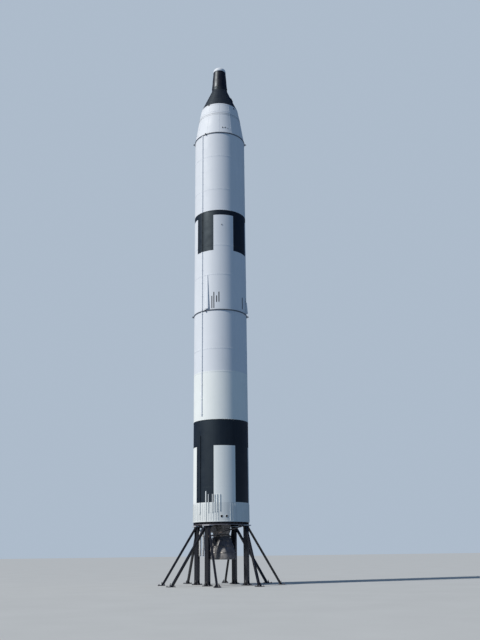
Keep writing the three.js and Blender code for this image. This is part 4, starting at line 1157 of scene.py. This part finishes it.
def make_bell(side, index):
    at = move(side * CHAMBER_X, 0, BELL_EXIT_Z)
    body = f"chamber_{index}"
    heights = arc(BELL["length"], 18)
    outside = [(bell_radius(h), h, BELL["flute"]) for h in heights]
    outside += [(r, h, BELL["flute"] if h < CHAMBER_SHOULDER else 0) for r, h in CHAMBER_HEAD]
    inside = [(bell_radius(h) - BELL["wall"], h) for h in reversed(heights)]
    build = Build("tubes", ENGINE)
    build.turned([(0, CHAMBER_FLOOR), (inside[0][0], CHAMBER_FLOOR), *inside, *outside, (0, CHAMBER_TOP)],
                 3 * BELL["tubes"], at)
    build.piece(f"bell_{index}", "engine_metal", [f"thrust_chamber_{index}"], body, smooth=28)
    fittings = Build("engine", ENGINE)
    for band in BELL_BANDS:
        bell_band(fittings, *band, at)
    fittings.torus(at, bell_radius(BELL["length"]) + 0.020, 1.225, 0.034)
    fittings.torus(at, 0.30, 1.52, 0.028)
    for here in ring_frames(32, 0.325, 1.88, at):
        fittings.bolt(here, 0.014, 0.016)
    for here in ring_frames(8, 0.20, 1.965, at, 22.5):
        fittings.box((0.012, 0.15, 0.10), here @ Matrix.Rotation(-0.5, 4, "X"))
    for azimuth in (20, 160):
        line = [(0.04, 0.022), (0.3, 0.024), (0.55, 0.024), (0.8, 0.024), (1.0, 0.024), (1.16, 0.022)]
        line = [place(azimuth, bell_radius(h) + lift, h) for h, lift in line]
        fittings.tube(smooth_path(line, 4), 0.016, 10, at)
    chamber_fittings(fittings, side)
    fittings.piece(f"chamber_fittings_{index}", "engine_metal", body=body)


def chamber_fittings(build, side):
    """The inlet, the gimbal's lower ears and the two lugs for the actuators."""
    centre = Vector((side * CHAMBER_X, 0, 0))
    foot, top, r = INLET["bottom"], INLET["top"], INLET["radius"]
    inlet = centre + Vector((0, INLET["offset"], 0))
    build.turned([(0, foot), (r * 0.8, foot), (r * 1.3, foot + 0.03), (r * 1.3, foot + 0.06),
                  (r, foot + 0.07), (r, top), (r - 0.012, top), (r - 0.012, top - 0.02), (0, top - 0.02)],
                 24, Matrix.Translation(inlet))
    build.rod(inlet + Vector((0, 0, foot + 0.02)), centre + Vector((0, 0.12, foot - 0.02)), r * 0.9, 16)
    half = EAR["half"]
    outline = [(-half * 1.5, EAR["base"]), (half * 1.5, EAR["base"])]
    outline += [(half * math.cos(a), GIMBAL_Z + half * math.sin(a)) for a in arc(math.pi, 10)]
    for near in (-EAR["far"], EAR["near"]):
        build.slab(outline, EAR["far"] - EAR["near"], move(centre.x + near, 0, 0) @ FACING_X)
    up, lug = Vector((0, 0, 1)), ACTUATOR["lug"]
    for way in actuator_ways(side).values():
        tip = centre + way * ACTUATOR["reach"] + up * (ACTUATOR["eye"] - ACTUATOR["lug_end"])
        build.rod(centre + up * (ACTUATOR["eye"] - ACTUATOR["lug_root"]), tip, lug * 1.2, 16, lug * 0.8)
        build.rod(tip - up * 0.02, tip + up * 0.028, lug * 0.9, 20)


def make_pump(side, index):
    x, y, z = PUMP["x"], PUMP["y"], PUMP["z"]

    def spot(along_x, across, height):
        return Vector((side * along_x, across, height))

    shaft = along(spot(x, y, z), spot(x + 1, y, z))
    build = Build("engine", ENGINE)
    build.turned(PUMP_PROFILE, 48, shaft)
    for height, radius, count, facing in PUMP_BOLTS:
        for here in ring_frames(count, radius, height, shaft):
            build.bolt(here @ facing, 0.009)
    suction = Matrix.Translation(spot(x + SUCTION["offset"], y + SUCTION["offset"], 0))
    r, outlet = SUCTION["radius"], high("engine_skirt") - 0.06
    bellows = [(r + (0.014 if k % 2 else 0), SUCTION["bellows"] + 0.016 * k) for k in range(17)]
    low_flange, high_flange = ([(r, h - 0.005), (r + 0.03, h), (r + 0.03, h + 0.035), (r, h + 0.04)]
                               for h in SUCTION["flanges"])
    build.turned([(0, z), (r, z), *low_flange, (r, 3.28), *bellows, (r, 3.58), *high_flange, (r, outlet),
                  (0, outlet)], 24, suction)
    for height in SUCTION["flanges"]:
        for here in ring_frames(10, r + 0.018, height + 0.034, suction):
            build.bolt(here, 0.008)
    arm_start = BEAM["half"] + JOINT_GAP
    arm = Matrix.Translation(spot(x, (arm_start + y) / 2, PUMP["arm_z"]))
    build.box((0.09, y - arm_start, 0.08), arm, 0.008, "steel")
    build.torus(suction, r + 0.012, PUMP["arm_z"], 0.02)
    outlet = INLET["top"] + DISCHARGE["gap"]
    route = [spot(x + a, y + b, z + c) for a, b, c in DISCHARGE_RISE]
    route += [spot(CHAMBER_X + a, INLET["offset"] + b, outlet + c) for a, b, c in DISCHARGE_FALL]
    build.tube(smooth_path(route, 6), DISCHARGE["radius"], 16)
    sleeve = Matrix.Translation(spot(CHAMBER_X, INLET["offset"], outlet))
    inner, outer = DISCHARGE["sleeve_inner"], DISCHARGE["sleeve_outer"]
    folds = [(outer if k % 2 else outer - 0.008, -0.055 + 0.009 * k) for k in range(9)]
    cup = [(inner, -0.055), *folds, (outer, 0.028), (0, 0.028), (0, 0.016), (inner, 0.016)]
    build.turned(cup, 32, sleeve)
    for here in ring_frames(8, 0.068, 0.028, sleeve):
        build.bolt(here, 0.009)
    build.piece(f"pump_{index}", "engine_metal", [f"turbopump_{index}"], smooth=30)
    duct = Build("bright", ENGINE)
    r, start = EXHAUST["radius"], y + PUMP["back"]
    path = [spot(EXHAUST["x"], start, z), spot(EXHAUST["x"], start + r, z)]
    path += [spot(EXHAUST["x"] + a, EXHAUST["y"] + b, z + c) for a, b, c in EXHAUST_ROUTE]
    path = smooth_path(path, 6)
    duct.tube(path, r, 24)
    for k in (1, 10, 22, 34, len(path) - 3):
        duct.band(path[k], (path[k + 1] - path[k]).normalized(), 0.012, r + 0.018, 24)
    duct.piece(f"duct_{index}", "bright_metal", [f"exhaust_duct_{index}"], smooth=30)


def make_actuator_details():
    """Glands, bands, valve blocks and lock nuts on the actuators, and caps on the gimbals' pins."""
    foot, nut = ACTUATOR["top"] - 0.42, ACTUATOR["eye"] + 0.042
    for side, index in ENGINE_SIDES:
        centre = Vector((side * CHAMBER_X, 0, 0))
        for name, way in actuator_ways(side).items():
            at = Matrix.Translation(centre + way * ACTUATOR["reach"])
            barrel, rod = Build("engine", ENGINE), Build("engine", ENGINE)
            for z, height in ((foot, 0.03), (foot + 0.09, 0.012), (foot + 0.14, 0.012)):
                barrel.turned([(0.047, z), (0.0535, z), (0.0545, z + 0.003), (0.0545, z + height - 0.003),
                               (0.0535, z + height), (0.047, z + height)], 32, at)
            for here in ring_frames(6, 0.038, foot, at):
                barrel.bolt(here @ FACING_DOWN, 0.006, 0.005)
            block = at @ Matrix.Translation(way * 0.056 + Vector((0, 0, foot + 0.055)))
            barrel.box((0.04, 0.04, 0.05), block, 0.006)
            barrel.piece(f"barrel_fittings_{name}_{index}", "bright_metal", body=f"barrel_{name}_{index}")
            rod.loft([circle(0.034, 6, move(0, 0, h)) for h in (nut, nut + 0.02)], at)
            collar = [(0.021, 0.02), (0.03, 0.02), (0.026, 0.034), (0.021, 0.034)]
            rod.turned([(radius, nut + rise) for radius, rise in collar], 24, at)
            rod.piece(f"rod_nut_{name}_{index}", "bright_metal", body=f"rod_{name}_{index}")
        caps = Build("bright", ENGINE)
        for flip in (-1, 1):
            start = centre + Vector((flip * (EAR["far"] - 0.001), 0, GIMBAL_Z))
            out = Vector((flip, 0, 0))
            caps.rod(start, start + out * 0.010, 0.034, 24, 0.030)
            caps.bolt(along(start + out * 0.009, start + out), 0.016, 0.008)
        caps.piece(f"gimbal_caps_{index}", "bright_metal", body=f"chamber_{index}")


def make_thrust_frame():
    build = Build("steel", ENGINE)
    middle = (BEAM["bottom"] + BEAM["top"]) / 2
    build.box((2 * (CHAMBER_X + BEAM["overhang"]), 2 * BEAM["half"], BEAM["top"] - BEAM["bottom"]),
              move(0, 0, middle), 0.008)
    size, radius = FRAME_PAD["size"], FRAME_PAD["radius"]
    pad_z = SKIRT_RING["bottom"] - JOINT_GAP - size[2] / 2
    for azimuth in FRAME_PAD["azimuths"]:
        turn = spin(azimuth)
        build.box(size, turn @ move(0, -radius, pad_z))
        head = place(azimuth, radius - 0.01, pad_z)
        for landing, thick in STRUTS:
            foot = Vector((math.copysign(landing, head.x), 0, BEAM["landing"]))
            build.rod(foot, head, thick, 20)
            way = (head - foot).normalized()
            for start in (foot + way * 0.14, head - way * 0.20):
                build.rod(start, start + way * 0.03, thick + 0.014, 20)
        for x in (-0.055, 0.055):
            build.bolt(turn @ move(x, -radius - 0.03, pad_z - 0.03) @ FACING_DOWN, 0.012)
    for side, x in itertools.product((-1, 1), (0.12, 0.38)):
        build.box((0.012, 0.30, 0.12), move(side * x, 0, BEAM["top"] - 0.02))
    for x in (-0.7, -0.45, -0.2, 0, 0.2, 0.45, 0.7):
        build.box((0.014, 0.212, 0.15), move(x, 0, middle))
    build.piece("engine_frame", "steel_black", ["thrust_frame"], smooth=30)


def make_engine_lines():
    """Fluid lines and a wiring harness, clipped to the beam."""
    lines = Build("bright", ENGINE)
    for k, (y, z) in enumerate(((-0.125, 3.80), (-0.125, 3.765), (0.118, 3.83))):
        for side in (-1, 1):
            path = [(0.02, y, z), (0.3, y, z)]
            if y < 0:
                path += [(0.45, y - 0.02, z + 0.02), (0.52, y - 0.05, z + 0.16 + 0.05 * k),
                         (0.53, y - 0.03, 4.2 + 0.1 * k), (0.6, y, 4.5 + 0.06 * k)]
            else:
                path.append((0.5, y - 0.01 * k, z + 0.01))
            lines.tube(smooth_path([(side * x, across, rise) for x, across, rise in path], 6), 0.011, 8)
    for x, y in itertools.product((-0.32, -0.1, 0.1, 0.32), (-0.112, 0.108)):
        lines.box((0.02, 0.03, 0.10), move(x, y, 3.79), 0.003, "steel")
    lines.piece("engine_lines", "bright_metal", smooth=40)


# Display stand
COLUMN_AZIMUTHS = [45, 135, 225, 315]
COLUMN = {"radius": 1.5, "width": 0.23, "top": 3.01}
PLATE = {"width": 0.42, "head": 0.04, "base": 0.03}
BRACE = {"foot_radius": 3.19, "spread": 24.9, "width": 0.12, "top_z": 3.05, "side": 0.062, "buried": 0.06,
         "plate": 0.36}
TIE = {"radius": 0.038, "low": 2.45, "outward": 0.15, "inset": 0.22}
STAND_RING = {"inner": 1.38, "outer": 1.505, "flange": 0.03, "web": 0.03, "ribs": 48, "bolts": 96}


def anchor_bolts(build, at, half, radius=0.02):
    """Four threaded anchors with nuts and washers, on a plate that lies at the frame's origin."""
    for x, y in itertools.product((-half, half), repeat=2):
        here = at @ move(x, y, 0)
        build.turned([(0, 0), (radius * 1.9, 0), (radius * 1.9, 0.004), (0, 0.004)], 20, here, "worn")
        build.bolt(here @ move(0, 0, 0.004), radius * 1.4, 0.022, "worn")
        build.rod((0, 0, 0.02), (0, 0, 0.055), radius * 0.7, 12, at=here, paint="worn")


def gusset(build, at, width, height, thickness=0.016):
    """A triangular plate: its foot along X, its back up Z."""
    outline = [(0, 0), (width, 0), (width, 0.02), (0.02, height), (0, height)]
    build.slab(outline, thickness, at @ move(0, thickness / 2, 0) @ spin(90, "X"))


def square_plate(build, width, thick, at, paint=None):
    """A plate whose underside lies at the frame's origin."""
    build.box((width, width, thick), at @ move(0, 0, thick / 2), 0.003, paint)


def make_columns():
    width, top = COLUMN["width"], COLUMN["top"]
    for i, azimuth in enumerate(COLUMN_AZIMUTHS):
        build = Build("steel")
        turn = spin(azimuth) @ move(0, -COLUMN["radius"], 0)
        head = turn @ move(0, 0, top)
        build.box((width, width, top - 0.02), turn @ move(0, 0, top / 2), 0.012)
        square_plate(build, PLATE["width"], PLATE["base"], turn)
        # The head plate is painted light grey, partly a painted highlight on its edges.
        square_plate(build, PLATE["width"], PLATE["head"], head, "plate")
        for k in range(4):
            face = turn @ spin(90 * k) @ move(width / 2, 0, 0)
            gusset(build, face @ move(0, 0, PLATE["base"]), 0.085, 0.20)
            gusset(build, face @ move(0, 0, top) @ MIRROR_Z, 0.085, 0.16)
        anchor_bolts(build, turn @ move(0, 0, PLATE["base"]), 0.165)
        for x, y in itertools.product((-0.16, 0.16), repeat=2):
            build.bolt(head @ move(x, y, 0) @ FACING_DOWN, 0.022, 0.018, "worn")
        if i % 2 == 1:
            tie(build, azimuth)
        build.piece(f"column_{i + 1}", "steel_black", [f"stand_column_{i + 1}"], smooth=30)


def tie(build, azimuth):
    """A tube that rises to the underside of the next column's head plate, with a collar at each end."""
    outward = place(azimuth + 45, TIE["outward"], 0)
    start = place(azimuth, COLUMN["radius"], TIE["low"]) + outward
    end = place(azimuth + 90, COLUMN["radius"], COLUMN["top"] - 0.01) + outward
    end += Vector((start.x - end.x, start.y - end.y, 0)).normalized() * TIE["inset"]
    build.rod(start, end, TIE["radius"], 24, paint="rust")
    way = (end - start).normalized()
    for middle in (start + way * 0.11, end - way * 0.13):
        build.band(middle, way, 0.02, TIE["radius"] + 0.012, 24, "worn")


def raked_beam(build, foot, head, width, azimuth, bottom, top, chamfer=0.012):
    """A square beam between two levels, with its ends cut level and its sides facing an azimuth."""
    way = (head - foot).normalized()
    out = place(azimuth + 90, 1, 0).cross(way).normalized()
    side = way.cross(out)
    half, c = width / 2, chamfer
    corners = [(half - c, -half), (half, c - half), (half, half - c), (half - c, half),
               (c - half, half), (-half, half - c), (-half, c - half), (c - half, -half)]
    edges = [foot + side * u + out * v for u, v in corners]
    build.loft([[p + way * ((level - p.z) / way.z) for p in edges] for level in (bottom, top)])


def make_braces():
    thick = PLATE["base"]
    for i, (azimuth, side) in enumerate(itertools.product(COLUMN_AZIMUTHS, (-1, 1))):
        build = Build("steel")
        foot_azimuth = azimuth + side * BRACE["spread"]
        foot = place(foot_azimuth, BRACE["foot_radius"], -BRACE["buried"])
        head = place(azimuth, COLUMN["radius"], BRACE["top_z"])
        head += place(azimuth + 90, side * BRACE["side"], 0)
        raked_beam(build, foot, head, BRACE["width"], foot_azimuth, thick - 0.001, COLUMN["top"] - 0.0005)
        turn = spin(foot_azimuth) @ move(0, -BRACE["foot_radius"], 0)
        square_plate(build, BRACE["plate"], thick, turn)
        plate = turn @ move(0, 0, thick)
        anchor_bolts(build, plate, 0.14)
        for mirror in (MIRROR_X, Matrix()):
            gusset(build, plate @ mirror @ move(BRACE["width"] / 2 - 0.004, 0.02, 0), 0.09, 0.16)
        build.piece(f"brace_{i + 1}", "steel_black", [f"stand_brace_{i + 1}"], smooth=30)


def make_stand_ring():
    bottom, top = low("stand_ring"), high("stand_ring")
    inner, outer, flange, web = (STAND_RING[key] for key in ("inner", "outer", "flange", "web"))
    middle, ease = (inner + outer) / 2, 0.003
    foot, head = bottom + flange, top - flange
    # The outer edge of the lower flange is painted light grey, lighter than the rest of the ring.
    build = Build(lambda p: "worn" if p.z < foot and math.hypot(p.x, p.y) > outer - 0.004 else "steel")
    near, far = middle - web / 2, middle + web / 2
    build.turned([(inner, bottom), (outer - ease, bottom), (outer, bottom + ease), (outer, foot - ease),
                  (outer - ease, foot), (far, foot), (far, head), (outer - ease, head), (outer, head + ease),
                  (outer, top), (inner, top), (inner, head), (near, head), (near, foot), (inner, foot)],
                 BODY_SIDES)
    depth = (outer - inner - web) / 2 - 0.004
    reach = web / 2 + depth / 2
    rib = (0.014, depth, head - foot + 0.002)
    for i in range(STAND_RING["ribs"]):
        turn = spin(360 * i / STAND_RING["ribs"])
        for radius in (middle + reach, middle - reach):
            build.box(rib, turn @ move(0, -radius, (bottom + top) / 2), 0.002)
    for i in range(STAND_RING["bolts"]):
        turn = spin(360 * (i + 0.5) / STAND_RING["bolts"])
        for radius in (inner + 0.022, outer - 0.022):
            build.bolt(turn @ move(0, -radius, head) @ FACING_DOWN, 0.012, 0.012, "steel")
    build.piece("ring_girder", "steel_black", ["stand_ring"], smooth=30)


def dress_cad_nodes():
    finishes = {
        "white_paint": "white",
        "warm_white_paint": "warm",
        "cabin_black": "cabin",
        "steel_black": "steel",
        "engine_metal": "engine",
        "bright_metal": "bright",
        "window_glass": "glass",
        "seat_grey": "seat",
    }
    for row in frame["record"]["subparts"]:
        mesh = frame["nodes"][row["node"]].data
        mesh.materials.clear()
        mesh.materials.append(MATERIALS[finishes[row["material_slot"]]])


dress_cad_nodes()
make_barrel()
make_fuel_tank()
make_interstage()
make_skirt()
make_skirt_ribs()
make_seams()
make_covers()
make_collars()
make_adapter()
make_adapter_details()
make_nose()
make_upper_details()
make_cabin()
make_cabin_details()
make_seats()
make_hatches()
for side, index in ENGINE_SIDES:
    make_bell(side, index)
    make_pump(side, index)
make_thrust_frame()
make_actuator_details()
make_engine_lines()
make_columns()
make_braces()
make_stand_ring()
